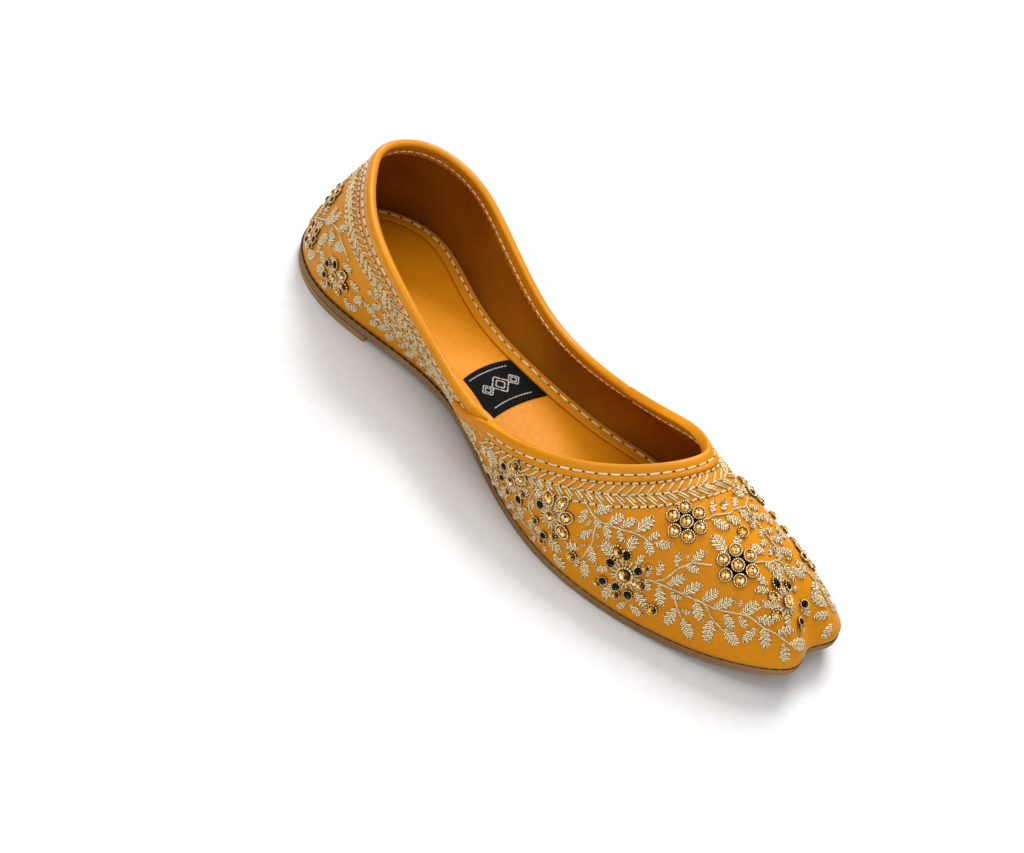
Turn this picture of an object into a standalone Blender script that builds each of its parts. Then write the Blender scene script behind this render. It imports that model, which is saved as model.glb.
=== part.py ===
"""Embroidered slip-on flat, right shoe, standing empty on its sole.

The shoe is worked out on its last: `across` is positive to the outer side, `along` runs from the
heel to the toe and `height` is above the floor. The finished part faces -Y with +Z up.
"""
import math
from collections import namedtuple

import bmesh
import bpy
import numpy as np

# Driving sizes, in metres
LENGTH = 0.250          # outsole, heel to toe
BALL_WIDTH = 0.070      # feather line across the ball
INSTEP_HEIGHT = 0.044   # top line at the throat
HEEL_HEIGHT = 0.051     # top line at the back
WALL = 0.0018           # upper, leather and lining together
GAP = 0.0003            # clearance between pieces that touch

# Sole
SOLE_THICKNESS = 0.0031
LIFT_TOP = 0.0022       # heel lift, floor to its top face
LIFT_LENGTH = 0.062
LIFT_FRONT_BOW = 0.004  # how far the lift's front edge curves back
ARCH_RISE = 0.0033
TOE_SPRING = 0.0075
SOLE_OUTSET = 0.0007    # sole edge past the upper's foot

# Inside
INSOLE_THICKNESS = 0.0024
INSOLE_CLEARANCE = 0.0004   # to the inner face of the wall
INSOLE_NOSE = 97.2      # percent of LENGTH
BORDER_WIDTH = 0.0060
BORDER_THICKNESS = 0.0010
LABEL_START = 0.1015
LABEL_LENGTH = 0.0195
LABEL_THICKNESS = 0.0005

# Top line binding
FOLD_DEPTH = 0.0056     # how far each leg of the fold reaches down the wall
FOLD_LEATHER = 0.0009
FOLD_GAP = 0.00045      # between the fold's legs and the wall, whose faces are coarser
SEAM_STEP = 0.0005      # the vamp stands this proud of the quarter

MARGIN = 0.0015         # upright strip of the wall at its foot

# Points round each outline
UPPER_COLUMNS = 80
UPPER_ROWS = 11
SOLE_POINTS = 80
LIFT_POINTS = 120
LIFT_FRONT_POINTS = 9
INSOLE_POINTS = 64
BORDER_POINTS = 72
LABEL_ROWS = 4

PERCENT = 0.01

# One row for each section of the upper, from the heel round the outer side to the toe and back
# by the inner side. foot_along and top_along are percent of LENGTH, foot_across and top_across
# percent of BALL_WIDTH, top_height percent of full_height. belly and crown say how far the wall
# swells outward and upward past a straight line, at one and two thirds of its height, in percent
# of LENGTH.
Section = namedtuple(
    "Section", "name foot_across foot_along top_across top_along full_height top_height "
    "belly_out belly_up crown_out crown_up")
SECTIONS = [
    Section("back", 0.0, 0.0, 0.0, 8.0, HEEL_HEIGHT, 100, 0.8, 0.0, 0.6, 0.0),
    Section("counter_outer", 24.3, 2.4, 17.1, 11.2, HEEL_HEIGHT, 99, 0.6, 0.0, 0.4, 0.0),
    Section("heel_outer", 44.3, 13.2, 37.9, 18.8, HEEL_HEIGHT, 93, 0.6, 0.0, 0.6, 0.0),
    Section("shank_outer", 39.3, 28.8, 47.9, 28.8, HEEL_HEIGHT, 77, 0.4, 0.0, 0.4, 0.0),
    Section("waist_outer", 37.9, 41.6, 52.1, 40.0, INSTEP_HEIGHT, 68, 0.6, 0.0, 0.4, 0.0),
    Section("joint_outer", 49.7, 54.4, 57.9, 50.8, INSTEP_HEIGHT, 64, 0.8, 0.0, 0.5, 0.0),
    Section("ball_outer", 59.3, 68.0, 51.4, 61.6, INSTEP_HEIGHT, 74, 1.0, 0.4, 1.0, 0.4),
    Section("side_outer", 52.9, 80.0, 35.7, 69.0, INSTEP_HEIGHT, 87, 1.2, 1.2, 1.2, 0.8),
    Section("corner_outer", 34.3, 92.8, 18.6, 73.2, INSTEP_HEIGHT, 97, 1.4, 2.0, 0.8, 1.6),
    Section("lobe_outer", 10.0, 100.4, 7.1, 74.6, INSTEP_HEIGHT, 100, 1.2, 2.4, 0.4, 2.0),
    Section("cleft", -4.3, 99.4, 0.7, 74.8, INSTEP_HEIGHT, 100, 1.0, 2.2, 0.4, 2.0),
    Section("lobe_inner", -18.6, 100.4, -5.0, 74.4, INSTEP_HEIGHT, 100, 0.7, 2.0, 0.2, 1.6),
    Section("corner_inner", -37.1, 95.6, -11.4, 71.6, INSTEP_HEIGHT, 98, 0.0, 0.7, 0.0, 0.5),
    Section("side_inner", -37.1, 83.2, -13.6, 66.4, INSTEP_HEIGHT, 90, 0.6, 1.6, 0.3, 1.2),
    Section("ball_inner", -38.6, 71.2, -15.7, 60.0, INSTEP_HEIGHT, 78, 0.8, 0.8, 0.8, 0.4),
    Section("joint_inner", -28.6, 57.2, -22.9, 50.4, INSTEP_HEIGHT, 62, 0.6, 0.0, 0.6, 0.0),
    Section("waist_inner", -20.0, 43.2, -26.4, 40.0, INSTEP_HEIGHT, 64, 0.4, 0.0, 0.4, 0.0),
    Section("shank_inner", -26.4, 28.8, -31.4, 28.4, HEEL_HEIGHT, 76, 0.4, 0.0, 0.4, 0.0),
    Section("heel_inner", -42.9, 12.8, -32.1, 18.0, HEEL_HEIGHT, 96, 0.6, 0.0, 0.6, 0.0),
    Section("counter_inner", -27.1, 2.4, -18.6, 10.2, HEEL_HEIGHT, 103, 0.6, 0.0, 0.6, 0.0),
]
TURN = len(SECTIONS)    # section numbers run from 0 to TURN round the shoe
TOE_SECTION = 10
SEAM_OUTER = 5.0        # side seams of vamp and quarter, as section numbers
SEAM_INNER = 14.2
SEAM_HALF_WIDTH = 0.05
LAP_END = (0.7, 0.8)    # shares of the wall's height over which the lap runs out
SEAM_GAP = 0.006        # half the gap between the two bindings, in section numbers

# Underside of the outsole from heel to toe: along in percent of LENGTH, height in metres.
SoleRow = namedtuple("SoleRow", "along height")
UNDERSIDE = [
    SoleRow(-8, LIFT_TOP + GAP),
    SoleRow(8, LIFT_TOP + GAP),
    SoleRow(25, LIFT_TOP + 1.4 * GAP),
    SoleRow(40, ARCH_RISE),
    SoleRow(60, 0.0),
    SoleRow(78, 0.0),
    SoleRow(90, 0.27 * TOE_SPRING),
    SoleRow(100, TOE_SPRING),
    SoleRow(104, 1.33 * TOE_SPRING),
]
SOLE_CUTS = [6, 14, 24, 33, 41, 47, 52, 56, 60, 68, 77, 82, 86, 89, 91.5, 94, 96, 98]

# Edge of a flat piece, from its top face down: depth is a share of its thickness, inset in metres.
EdgeRow = namedtuple("EdgeRow", "depth inset")
SOLE_EDGE = [
    EdgeRow(0.00, 0.0004),
    EdgeRow(0.12, 0.0),
    EdgeRow(0.42, 0.0),
    EdgeRow(0.50, 0.0003),
    EdgeRow(0.58, 0.0),
    EdgeRow(0.86, 0.0001),
    EdgeRow(1.00, 0.0006),
]
LIFT_EDGE = [EdgeRow(0.0, 0.0001), EdgeRow(0.2, 0.0), EdgeRow(0.8, 0.0), EdgeRow(1.0, 0.0005)]
INSOLE_EDGE = [EdgeRow(0.0, 0.0003), EdgeRow(0.2, 0.0), EdgeRow(1.0, 0.0)]

# Section of the folded binding, from the outer leg over the rim to the inner leg: depth is below
# the top line along the wall, out is from the wall's outer face, both in metres.
FoldRow = namedtuple("FoldRow", "depth out")
BACK_FACE = -WALL
CROWN = 0.0014          # height of the rounded fold above the top line
FOLD = [
    FoldRow(FOLD_DEPTH, FOLD_GAP),
    FoldRow(FOLD_DEPTH, FOLD_GAP + 0.6 * FOLD_LEATHER),
    FoldRow(0.8 * FOLD_DEPTH, FOLD_GAP + FOLD_LEATHER),
    FoldRow(-FOLD_GAP, FOLD_GAP + FOLD_LEATHER),
    FoldRow(-0.7 * CROWN, 0.5 * FOLD_LEATHER),
    FoldRow(-CROWN, 0.5 * BACK_FACE),
    FoldRow(-0.7 * CROWN, BACK_FACE - 0.5 * FOLD_LEATHER),
    FoldRow(-FOLD_GAP, BACK_FACE - FOLD_GAP - FOLD_LEATHER),
    FoldRow(0.8 * FOLD_DEPTH, BACK_FACE - FOLD_GAP - FOLD_LEATHER),
    FoldRow(FOLD_DEPTH, BACK_FACE - FOLD_GAP - 0.6 * FOLD_LEATHER),
    FoldRow(FOLD_DEPTH, BACK_FACE - FOLD_GAP),
    FoldRow(-FOLD_GAP, BACK_FACE - FOLD_GAP),
    FoldRow(-FOLD_GAP, FOLD_GAP),
]
# The fold's end as three faces, by row: outer leg, crown and inner leg.
FOLD_END = [(0, 1, 2, 3, 12), (3, 4, 5, 6, 7, 11, 12), (7, 8, 9, 10, 11)]

# Sewn-on stone flowers: around is a section number, up a share of the wall's height.
Flower = namedtuple("Flower", "name around up radius petals turn")
FLOWERS = [
    Flower("crystal_flower_rear", 8.05, 0.665, 0.0071, 6, 10),
    Flower("crystal_flower_front", 8.60, 0.455, 0.0071, 6, 25),
    Flower("stone_flower_side", 7.15, 0.26, 0.0078, 8, 0),
    Flower("stone_flower_toe", 9.35, 0.26, 0.0075, 8, 20),
    Flower("stone_flower_joint", 6.20, 0.46, 0.0074, 8, 10),
    Flower("stone_flower_seam", 5.65, 0.51, 0.0062, 8, 0),
    Flower("stone_flower_inner_front", 11.55, 0.325, 0.0072, 8, 15),
    Flower("stone_flower_inner_rear", 11.65, 0.675, 0.0066, 8, 0),
    Flower("stone_flower_heel_outer", 2.15, 0.25, 0.0070, 8, 5),
    Flower("stone_flower_counter_outer", 1.40, 0.20, 0.0062, 8, 0),
    Flower("stone_flower_back", 0.90, 0.48, 0.0066, 8, 15),
    Flower("stone_flower_heel_inner", 17.90, 0.27, 0.0070, 8, 5),
]
FLOWER_SPOKES = 24
FLOWER_CLEARANCE = 2.5 * GAP
FLOWER_EDGE = 0.0010    # height of a flower's edge above its underside
FLOWER_CROWN = 0.0022   # and of its middle
FLOWER_LOBE = 0.10      # depth of the petals as a share of the radius

# Colours, linear
MUSTARD = (0.66, 0.30, 0.045, 1.0)
TAN_EDGE = (0.24, 0.13, 0.055, 1.0)
DARK_EDGE = (0.12, 0.065, 0.03, 1.0)
GOLD = (0.62, 0.42, 0.16, 1.0)
BLACK = (0.012, 0.012, 0.013, 1.0)


# ------------------------------------------------------------------------------- curves
def clamped_curve(knots, values, at):
    """Cubic through the knots that never overshoots them."""
    knots = np.asarray(knots, float)
    values = np.asarray(values, float)
    steps = np.diff(knots)
    slopes = np.diff(values) / steps
    tangents = np.zeros_like(knots)
    tangents[0], tangents[-1] = slopes[0], slopes[-1]
    for i in range(1, len(knots) - 1):
        if slopes[i - 1] * slopes[i] > 0:
            before = 2 * steps[i] + steps[i - 1]
            after = steps[i] + 2 * steps[i - 1]
            tangents[i] = (before + after) / (before / slopes[i - 1] + after / slopes[i])
    at = np.clip(at, knots[0], knots[-1])
    i = np.clip(np.searchsorted(knots, at) - 1, 0, len(knots) - 2)
    t = (at - knots[i]) / steps[i]
    ease = t * t * (3 - 2 * t)
    bend = steps[i] * (t * (1 - t) ** 2 * tangents[i] - t * t * (1 - t) * tangents[i + 1])
    return values[i] * (1 - ease) + values[i + 1] * ease + bend


class ClosedSpline:
    """Smooth closed cubic through rows of numbers, each row at its own knot."""

    def __init__(self, knots, rows):
        count = len(rows)
        gaps = np.diff(knots)
        matrix = np.zeros((count, count))
        right = np.zeros_like(rows)
        for i in range(count):
            after = (i + 1) % count
            matrix[i, i - 1] += gaps[i - 1]
            matrix[i, i] += 2 * (gaps[i - 1] + gaps[i])
            matrix[i, after] += gaps[i]
            right[i] = 6 * ((rows[after] - rows[i]) / gaps[i] - (rows[i] - rows[i - 1]) / gaps[i - 1])
        self.bends = np.linalg.solve(matrix, right)
        self.knots, self.rows, self.gaps, self.count = knots, rows, gaps, count

    def __call__(self, at):
        at = np.mod(at, self.knots[-1])
        i = np.clip(np.searchsorted(self.knots, at, side="right") - 1, 0, self.count - 1)
        j = (i + 1) % self.count
        left = (self.knots[i + 1] - at)[:, None]
        right = (at - self.knots[i])[:, None]
        gap = self.gaps[i][:, None]
        curved = (self.bends[i] * left ** 3 + self.bends[j] * right ** 3) / (6 * gap)
        straight_i = (self.rows[i] / gap - self.bends[i] * gap / 6) * left
        straight_j = (self.rows[j] / gap - self.bends[j] * gap / 6) * right
        return curved + straight_i + straight_j


def chord_knots(points, power):
    """Knots spaced by the distance between neighbouring points of a closed row."""
    steps = np.linalg.norm(np.roll(points, -1, 0) - points, axis=1) ** power
    return np.concatenate([[0.0], np.cumsum(steps)])


def plan_normals(outline):
    """Outward unit normals of a closed plan outline that runs round by the outer side."""
    tangent = np.roll(outline, -1, 0) - np.roll(outline, 1, 0)
    tangent /= np.linalg.norm(tangent, axis=1)[:, None]
    return np.column_stack([tangent[:, 1], -tangent[:, 0]])


# ------------------------------------------------------------------------------- the last
def underside(along):
    """Height of the outsole's underside."""
    knots = [row.along * PERCENT * LENGTH for row in UNDERSIDE]
    return clamped_curve(knots, [row.height for row in UNDERSIDE], along)


def sole_top(along):
    """Height of the outsole's top face, where the upper and the insole stand."""
    return underside(along) + SOLE_THICKNESS


def section_rows():
    """The section table in metres, one line per section."""
    rows = []
    for s in SECTIONS:
        plan = [s.foot_across * BALL_WIDTH, s.foot_along * LENGTH,
                s.top_across * BALL_WIDTH, s.top_along * LENGTH]
        height = [s.top_height * s.full_height]
        swell = [value * LENGTH for value in (s.belly_out, s.belly_up, s.crown_out, s.crown_up)]
        rows.append(plan + height + swell)
    return np.array(rows) * PERCENT


ROWS = section_rows()
KNOTS = chord_knots((ROWS[:, :2] + ROWS[:, 2:4]) / 2, 0.6)
SPLINE = ClosedSpline(KNOTS, ROWS)


def section_data(around):
    """Section values at any section number."""
    return SPLINE(np.interp(np.mod(around, TURN), np.arange(TURN + 1), KNOTS))


def foot_frame(around):
    """Foot of the wall in plan and its outward direction in plan."""
    step = 0.002
    foot = section_data(around)[:, :2]
    tangent = section_data(around + step)[:, :2] - section_data(around - step)[:, :2]
    tangent /= np.linalg.norm(tangent, axis=1)[:, None]
    return foot, np.column_stack([tangent[:, 1], -tangent[:, 0]])


def is_vamp(around):
    """1 in front of the side seams and 0 behind them, with a short slope at each."""
    around = np.mod(around, TURN)
    rise = (around - SEAM_OUTER) / SEAM_HALF_WIDTH
    fall = (SEAM_INNER - around) / SEAM_HALF_WIDTH
    return np.clip(np.minimum(rise, fall), -1, 1) / 2 + 0.5


def smooth_wall(around, up):
    """Outer face of the wall without the seam step: one row per section, one column per height."""
    data = section_data(around)
    foot2, out2 = foot_frame(around)
    floor = sole_top(foot2[:, 1]) + GAP + MARGIN
    foot = np.column_stack([foot2, floor])
    top = data[:, 2:5]
    out = np.column_stack([out2, np.zeros(len(out2))])
    upward = np.array([0.0, 0.0, 1.0])
    belly = foot + (top - foot) / 3 + out * data[:, 5:6] + upward * data[:, 6:7]
    crown = foot + (top - foot) * 2 / 3 + out * data[:, 7:8] + upward * data[:, 8:9]
    t = np.asarray(up)[None, :, None]
    weights = (
        -4.5 * (t - 1 / 3) * (t - 2 / 3) * (t - 1),
        13.5 * t * (t - 2 / 3) * (t - 1),
        -13.5 * t * (t - 1 / 3) * (t - 1),
        4.5 * t * (t - 1 / 3) * (t - 2 / 3),
    )
    return sum(w * p[:, None] for w, p in zip(weights, (foot, belly, crown, top)))


def wall_normals(around, up):
    """Outward unit normals of the wall."""
    across_step, up_step = 0.01, 0.004
    low = np.clip(np.asarray(up) - up_step, 0, 1)
    high = np.clip(np.asarray(up) + up_step, 0, 1)
    sideways = smooth_wall(around + across_step, up) - smooth_wall(around - across_step, up)
    upward = smooth_wall(around, high) - smooth_wall(around, low)
    normals = np.cross(sideways, upward)
    return normals / np.linalg.norm(normals, axis=2)[:, :, None]


def wall(around, up):
    """Outer face of the wall and its normals, with the vamp lapped over the quarter.

    The lap runs out below the binding, which covers both.
    """
    normals = wall_normals(around, up)
    low, high = LAP_END
    below_binding = np.clip((high - np.asarray(up)) / (high - low), 0, 1)
    step = SEAM_STEP * is_vamp(around)[:, None] * below_binding
    return smooth_wall(around, up) + normals * step[:, :, None], normals


def even_sections(count, start=0.0, end=TURN):
    """Section numbers spaced evenly along the wall's middle line."""
    fine = np.linspace(start, end, 2001)
    data = section_data(fine)
    middle = (data[:, :2] + data[:, 2:4]) / 2
    run = np.concatenate([[0.0], np.cumsum(np.linalg.norm(np.diff(middle, axis=0), axis=1))])
    return np.interp(np.linspace(0, run[-1], count), run, fine)


def wall_below_rim(around, depth):
    """Points and normals a given way down the wall from the top line."""
    ups = np.linspace(1.0, 0.5, 41)
    points, _ = wall(around, ups)
    runs = np.cumsum(np.linalg.norm(np.diff(points, axis=1), axis=2), axis=1)
    runs = np.column_stack([np.zeros(len(around)), runs])
    places, directions = [], []
    for i, number in enumerate(around):
        up = np.array([np.interp(depth, runs[i], ups)])
        point, normal = wall(np.array([number]), up)
        places.append(point[0, 0])
        directions.append(normal[0, 0])
    return np.array(places), np.array(directions)


# ------------------------------------------------------------------------------- meshes
def to_part(point):
    """From the last's own directions to the part's: toe to -Y, outer side to -X."""
    return (-point[0], LENGTH / 2 - point[1], point[2])


def new_object(name, bm, material, smooth_angle=35.0):
    mesh = bpy.data.meshes.new(name)
    bmesh.ops.recalc_face_normals(bm, faces=bm.faces)
    bm.to_mesh(mesh)
    bm.free()
    mesh.materials.append(material)
    mesh.shade_smooth()
    mesh.set_sharp_from_angle(angle=math.radians(smooth_angle))
    obj = bpy.data.objects.new(name, mesh)
    PARTS.objects.link(obj)
    return obj


def loft(bm, rings, closed=True):
    """Faces between successive rings of equally many points; the rows of vertices are returned."""
    rows = [[bm.verts.new(point) for point in ring] for ring in rings]
    count = len(rows[0])
    for low, high in zip(rows, rows[1:]):
        for i in range(count if closed else count - 1):
            j = (i + 1) % count
            bm.faces.new((low[i], low[j], high[j], high[i]))
    return rows


def flat_piece(outline, thickness, edge, cuts):
    """Flat closed piece with a shaped edge, cut across at the given places along the last."""
    bm = bmesh.new()
    normals = plan_normals(outline)
    rings = []
    for row in edge:
        ring = outline - normals * row.inset
        rings.append([(x, y, -row.depth * thickness) for x, y in ring])
    rows = loft(bm, rings)
    bm.faces.new(rows[0])
    bm.faces.new(rows[-1])
    for along in cuts:
        everything = bm.verts[:] + bm.edges[:] + bm.faces[:]
        bmesh.ops.bisect_plane(bm, geom=everything, dist=1e-6,
                               plane_co=(0, along, 0), plane_no=(0, 1, 0))
    return bm


def settle(bm, lift, follows_sole=True):
    """Raise a flat piece, bend it along the sole and turn it to the part's directions."""
    if bm.verts:
        alongs = np.array([vertex.co.y for vertex in bm.verts])
        heights = sole_top(alongs) if follows_sole else np.zeros(len(alongs))
        for vertex, height in zip(bm.verts, heights):
            vertex.co = to_part((vertex.co.x, vertex.co.y, vertex.co.z + height + lift))
    bmesh.ops.triangulate(bm, faces=[face for face in bm.faces if len(face.verts) > 4])
    return bm


def material(name, colour, roughness, metallic=0.0):
    made = bpy.data.materials.new(name)
    made.use_nodes = True
    made.diffuse_color = colour
    shader = made.node_tree.nodes["Principled BSDF"]
    shader.inputs["Base Color"].default_value = colour
    shader.inputs["Roughness"].default_value = roughness
    shader.inputs["Metallic"].default_value = metallic
    return made


# ------------------------------------------------------------------------------- pieces
def make_outsole():
    foot, out = foot_frame(even_sections(SOLE_POINTS + 1)[:-1])
    cuts = [cut * PERCENT * LENGTH for cut in SOLE_CUTS]
    bm = flat_piece(foot + out * SOLE_OUTSET, SOLE_THICKNESS, SOLE_EDGE, cuts)
    new_object("outsole", settle(bm, 0.0), material("sole_leather", TAN_EDGE, 0.6))


def make_heel_lift():
    around = even_sections(LIFT_POINTS + 1)[:-1]
    foot, out = foot_frame(around)
    outline = foot + out * SOLE_OUTSET
    inside = outline[:, 1] < LIFT_LENGTH
    first = int(np.argmin(inside))
    rear = np.roll(outline, -first, 0)[np.roll(inside, -first)]
    start, end = rear[-1], rear[0]
    share = np.linspace(0, 1, LIFT_FRONT_POINTS)[1:-1, None]
    front = start + (end - start) * share
    front[:, 1] -= LIFT_FRONT_BOW * np.sin(math.pi * share[:, 0])
    bm = flat_piece(np.vstack([rear, front]), LIFT_TOP, LIFT_EDGE, [0.25 * LIFT_LENGTH])
    new_object("heel_lift", settle(bm, LIFT_TOP, False), material("heel_stack", DARK_EDGE, 0.6))


def upper_sections():
    """Even section numbers, with a pair set close on each side seam."""
    around = even_sections(UPPER_COLUMNS + 1)[:-1]
    for seam in (SEAM_OUTER, SEAM_INNER):
        around = around[np.abs(around - seam) > 3 * SEAM_HALF_WIDTH]
        around = np.append(around, [seam - SEAM_HALF_WIDTH, seam + SEAM_HALF_WIDTH])
    return np.sort(around)


def make_upper(leather):
    around = upper_sections()
    points, _ = wall(around, np.linspace(0, 1, UPPER_ROWS))
    foot = points[:, 0].copy()
    foot[:, 2] = sole_top(foot[:, 1]) + GAP
    rings = [foot] + [points[:, j] for j in range(UPPER_ROWS)]
    bm = bmesh.new()
    loft(bm, [[to_part(p) for p in ring] for ring in rings])
    obj = new_object("upper", bm, leather)
    shell = obj.modifiers.new("wall", "SOLIDIFY")
    shell.thickness = WALL
    shell.offset = -1.0
    shell.use_even_offset = False


def make_binding(name, start, end, leather):
    """Folded strip over the top line between two section numbers, cut where the upper is."""
    twice_round = np.concatenate([upper_sections(), upper_sections() + TURN])
    clear = 2 * SEAM_HALF_WIDTH
    inside = twice_round[(twice_round > start + clear) & (twice_round < end - clear)]
    near_seam = SEAM_HALF_WIDTH - SEAM_GAP
    around = np.concatenate([[start, start + near_seam], inside, [end - near_seam, end]])
    count = len(around)
    points, normals = wall(around, np.array([1.0]))
    below, _ = wall(around, np.array([0.97]))
    rim, out = points[:, 0], normals[:, 0]
    rise = rim - below[:, 0]
    rise /= np.linalg.norm(rise, axis=1)[:, None]
    lines = []
    for row in FOLD:
        if row.depth > 0:
            place, direction = wall_below_rim(around, row.depth)
        else:
            place, direction = rim - rise * row.depth, out
        lines.append(place + direction * row.out)
    bm = bmesh.new()
    rings = [[to_part(line[i]) for line in lines] for i in range(count)]
    rows = loft(bm, rings)
    for ring in (rows[0], rows[-1]):
        for face in FOLD_END:
            bm.faces.new([ring[k] for k in face])
    new_object(name, bm, leather)


def insole_outline():
    """Closed plan curve just inside the foot of the upper, plain at the toe.

    It keeps clear of the wall up to the height of the insole and its border.
    """
    step = 0.5
    low_band = GAP + 2 * INSOLE_THICKNESS + BORDER_THICKNESS
    ups = np.linspace(0, 0.3, 25)
    rear = np.arange(0, TOE_SECTION - 3 * step, step)
    front = np.arange(TOE_SECTION + 4 * step, TURN, step)
    lines = []
    for number in np.concatenate([rear, front]):
        around = np.array([number])
        foot, out = foot_frame(around)
        points, normals = wall(around, ups)
        inner = points[0] - normals[0] * WALL
        low = inner[inner[:, 2] < sole_top(foot[:, 1])[0] + low_band]
        lean = ((foot[0] - low[:, :2]) * out[0]).sum(axis=1).max()
        lines.append(foot[0] - out[0] * (max(lean, WALL) + INSOLE_CLEARANCE))
    nose = np.array([ROWS[TOE_SECTION, 0], INSOLE_NOSE * PERCENT * LENGTH])
    lines.insert(len(rear), nose)
    rows = np.array(lines)
    knots = chord_knots(rows, 1.0)
    return ClosedSpline(knots, rows), knots[-1]


def inset_outline(spline, total, count, inset):
    outline = spline(np.linspace(0, total, count, endpoint=False))
    return outline - plan_normals(outline) * inset


def make_insole(spline, total, leather):
    cuts = [cut * PERCENT * LENGTH for cut in SOLE_CUTS]
    outline = inset_outline(spline, total, INSOLE_POINTS, 0.0)
    bm = flat_piece(outline, INSOLE_THICKNESS, INSOLE_EDGE, cuts)
    new_object("insole", settle(bm, GAP + INSOLE_THICKNESS), leather)


def make_insole_border(spline, total, leather):
    """Raised strip round the insole, a ring with softened edges."""
    soft = 0.0003
    corners = [(soft, 0.0), (soft, -BORDER_THICKNESS), (BORDER_WIDTH, -BORDER_THICKNESS),
               (BORDER_WIDTH, -0.4 * BORDER_THICKNESS), (BORDER_WIDTH - 2 * soft, 0.0)]
    bm = bmesh.new()
    outlines = [inset_outline(spline, total, BORDER_POINTS, inset) for inset, _ in corners]
    heights = [height for _, height in corners]
    rings = [[(*line[i], z) for line, z in zip(outlines, heights)] for i in range(BORDER_POINTS)]
    rows = loft(bm, rings)
    for k in range(len(corners)):
        after = (k + 1) % len(corners)
        bm.faces.new((rows[-1][k], rows[-1][after], rows[0][after], rows[0][k]))
    lift = GAP + INSOLE_THICKNESS + GAP + BORDER_THICKNESS
    new_object("insole_border", settle(bm, lift), leather)


def make_label(spline, total):
    """Plain woven patch across the insole between the two sides of the border."""
    inner = inset_outline(spline, total, 4 * INSOLE_POINTS, BORDER_WIDTH + GAP)
    near = np.abs(inner[:, 1] - LABEL_START) < 2 * LABEL_LENGTH
    alongs = np.linspace(LABEL_START, LABEL_START + LABEL_LENGTH, LABEL_ROWS)
    sides = []
    for side in (inner[near & (inner[:, 0] > 0)], inner[near & (inner[:, 0] < 0)]):
        side = side[np.argsort(side[:, 1])]
        sides.append(np.column_stack([np.interp(alongs, side[:, 1], side[:, 0]), alongs]))
    outline = np.vstack([sides[0], sides[1][::-1]])
    bm = bmesh.new()
    rings = [[(x, y, z) for x, y in outline] for z in (-LABEL_THICKNESS, 0.0)]
    rows = loft(bm, rings)
    bm.faces.new(rows[0])
    bm.faces.new(rows[1])
    lift = GAP + INSOLE_THICKNESS + GAP + LABEL_THICKNESS
    new_object("label_patch", settle(bm, lift), material("woven_label", BLACK, 0.8))


def on_wall(around, up, offsets):
    """Wall points that lie straight under given offsets from a place, in its tangent plane."""
    centre, normal = wall(np.array([around]), np.array([up]))
    centre, normal = centre[0, 0], normal[0, 0]
    ahead = np.array([0.0, 1.0, 0.0]) - normal * normal[1]
    ahead /= np.linalg.norm(ahead)
    side = np.cross(ahead, normal)
    nudge = 0.01
    arounds = np.full(len(offsets), float(around))
    ups = np.full(len(offsets), float(up))

    def flat(a, u):
        points = np.array([wall(np.array([x]), np.array([y]))[0][0, 0] for x, y in zip(a, u)])
        return points, np.column_stack([(points - centre) @ side, (points - centre) @ ahead])

    for _ in range(4):
        points, here = flat(arounds, ups)
        _, moved_around = flat(arounds + nudge, ups)
        _, moved_up = flat(arounds, ups + nudge)
        a, b = ((moved_around - here) / nudge).T, ((moved_up - here) / nudge).T
        miss = (offsets - here).T
        size = a[0] * b[1] - a[1] * b[0]
        arounds = arounds + (miss[0] * b[1] - miss[1] * b[0]) / size
        ups = ups + (a[0] * miss[1] - a[1] * miss[0]) / size
    return flat(arounds, ups)[0], normal


def make_flower(flower, metal):
    """Low scalloped button that follows the wall."""
    angles = np.linspace(0, 2 * math.pi, FLOWER_SPOKES, endpoint=False)
    turned = flower.petals * (angles + math.radians(flower.turn))
    reach = flower.radius * (1 + FLOWER_LOBE * (np.cos(turned) - 1))
    directions = np.column_stack([np.cos(angles), np.sin(angles)])

    def ring(share, height):
        points, normal = on_wall(flower.around, flower.up, directions * (reach * share)[:, None])
        return [to_part(p) for p in points + normal * height]

    centre, normal = on_wall(flower.around, flower.up, np.zeros((1, 2)))
    clear = FLOWER_CLEARANCE
    low, edge, crown = clear, clear + FLOWER_EDGE, clear + FLOWER_CROWN
    bm = bmesh.new()
    rings = [ring(0.5, low), ring(1.0, low), ring(1.0, edge), ring(0.6, crown)]
    rows = loft(bm, rings)
    for row, height in ((rows[0], low), (rows[-1], crown)):
        tip = bm.verts.new(to_part(centre[0] + normal * height))
        for i in range(FLOWER_SPOKES):
            bm.faces.new((row[i], row[(i + 1) % FLOWER_SPOKES], tip))
    new_object(flower.name, bm, metal)


def centre_on_floor():
    """Put the middle of the whole shoe over the origin, with the floor at zero."""
    bpy.context.view_layer.update()
    graph = bpy.context.evaluated_depsgraph_get()
    corners = []
    for obj in PARTS.objects:
        mesh = obj.evaluated_get(graph).to_mesh()
        corners += [tuple(vertex.co) for vertex in mesh.vertices]
    corners = np.array(corners)
    middle = (corners.min(axis=0) + corners.max(axis=0)) / 2
    for obj in PARTS.objects:
        for vertex in obj.data.vertices:
            vertex.co.x -= middle[0]
            vertex.co.y -= middle[1]


for old in list(bpy.data.objects):
    bpy.data.objects.remove(old)
PARTS = bpy.data.collections.new("embroidered_flat")
bpy.context.scene.collection.children.link(PARTS)

mustard = material("mustard_leather", MUSTARD, 0.45)
panel_leather = material("insole_leather", MUSTARD, 0.4)
stone_metal = material("stone_gold", GOLD, 0.3, 1.0)

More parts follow.
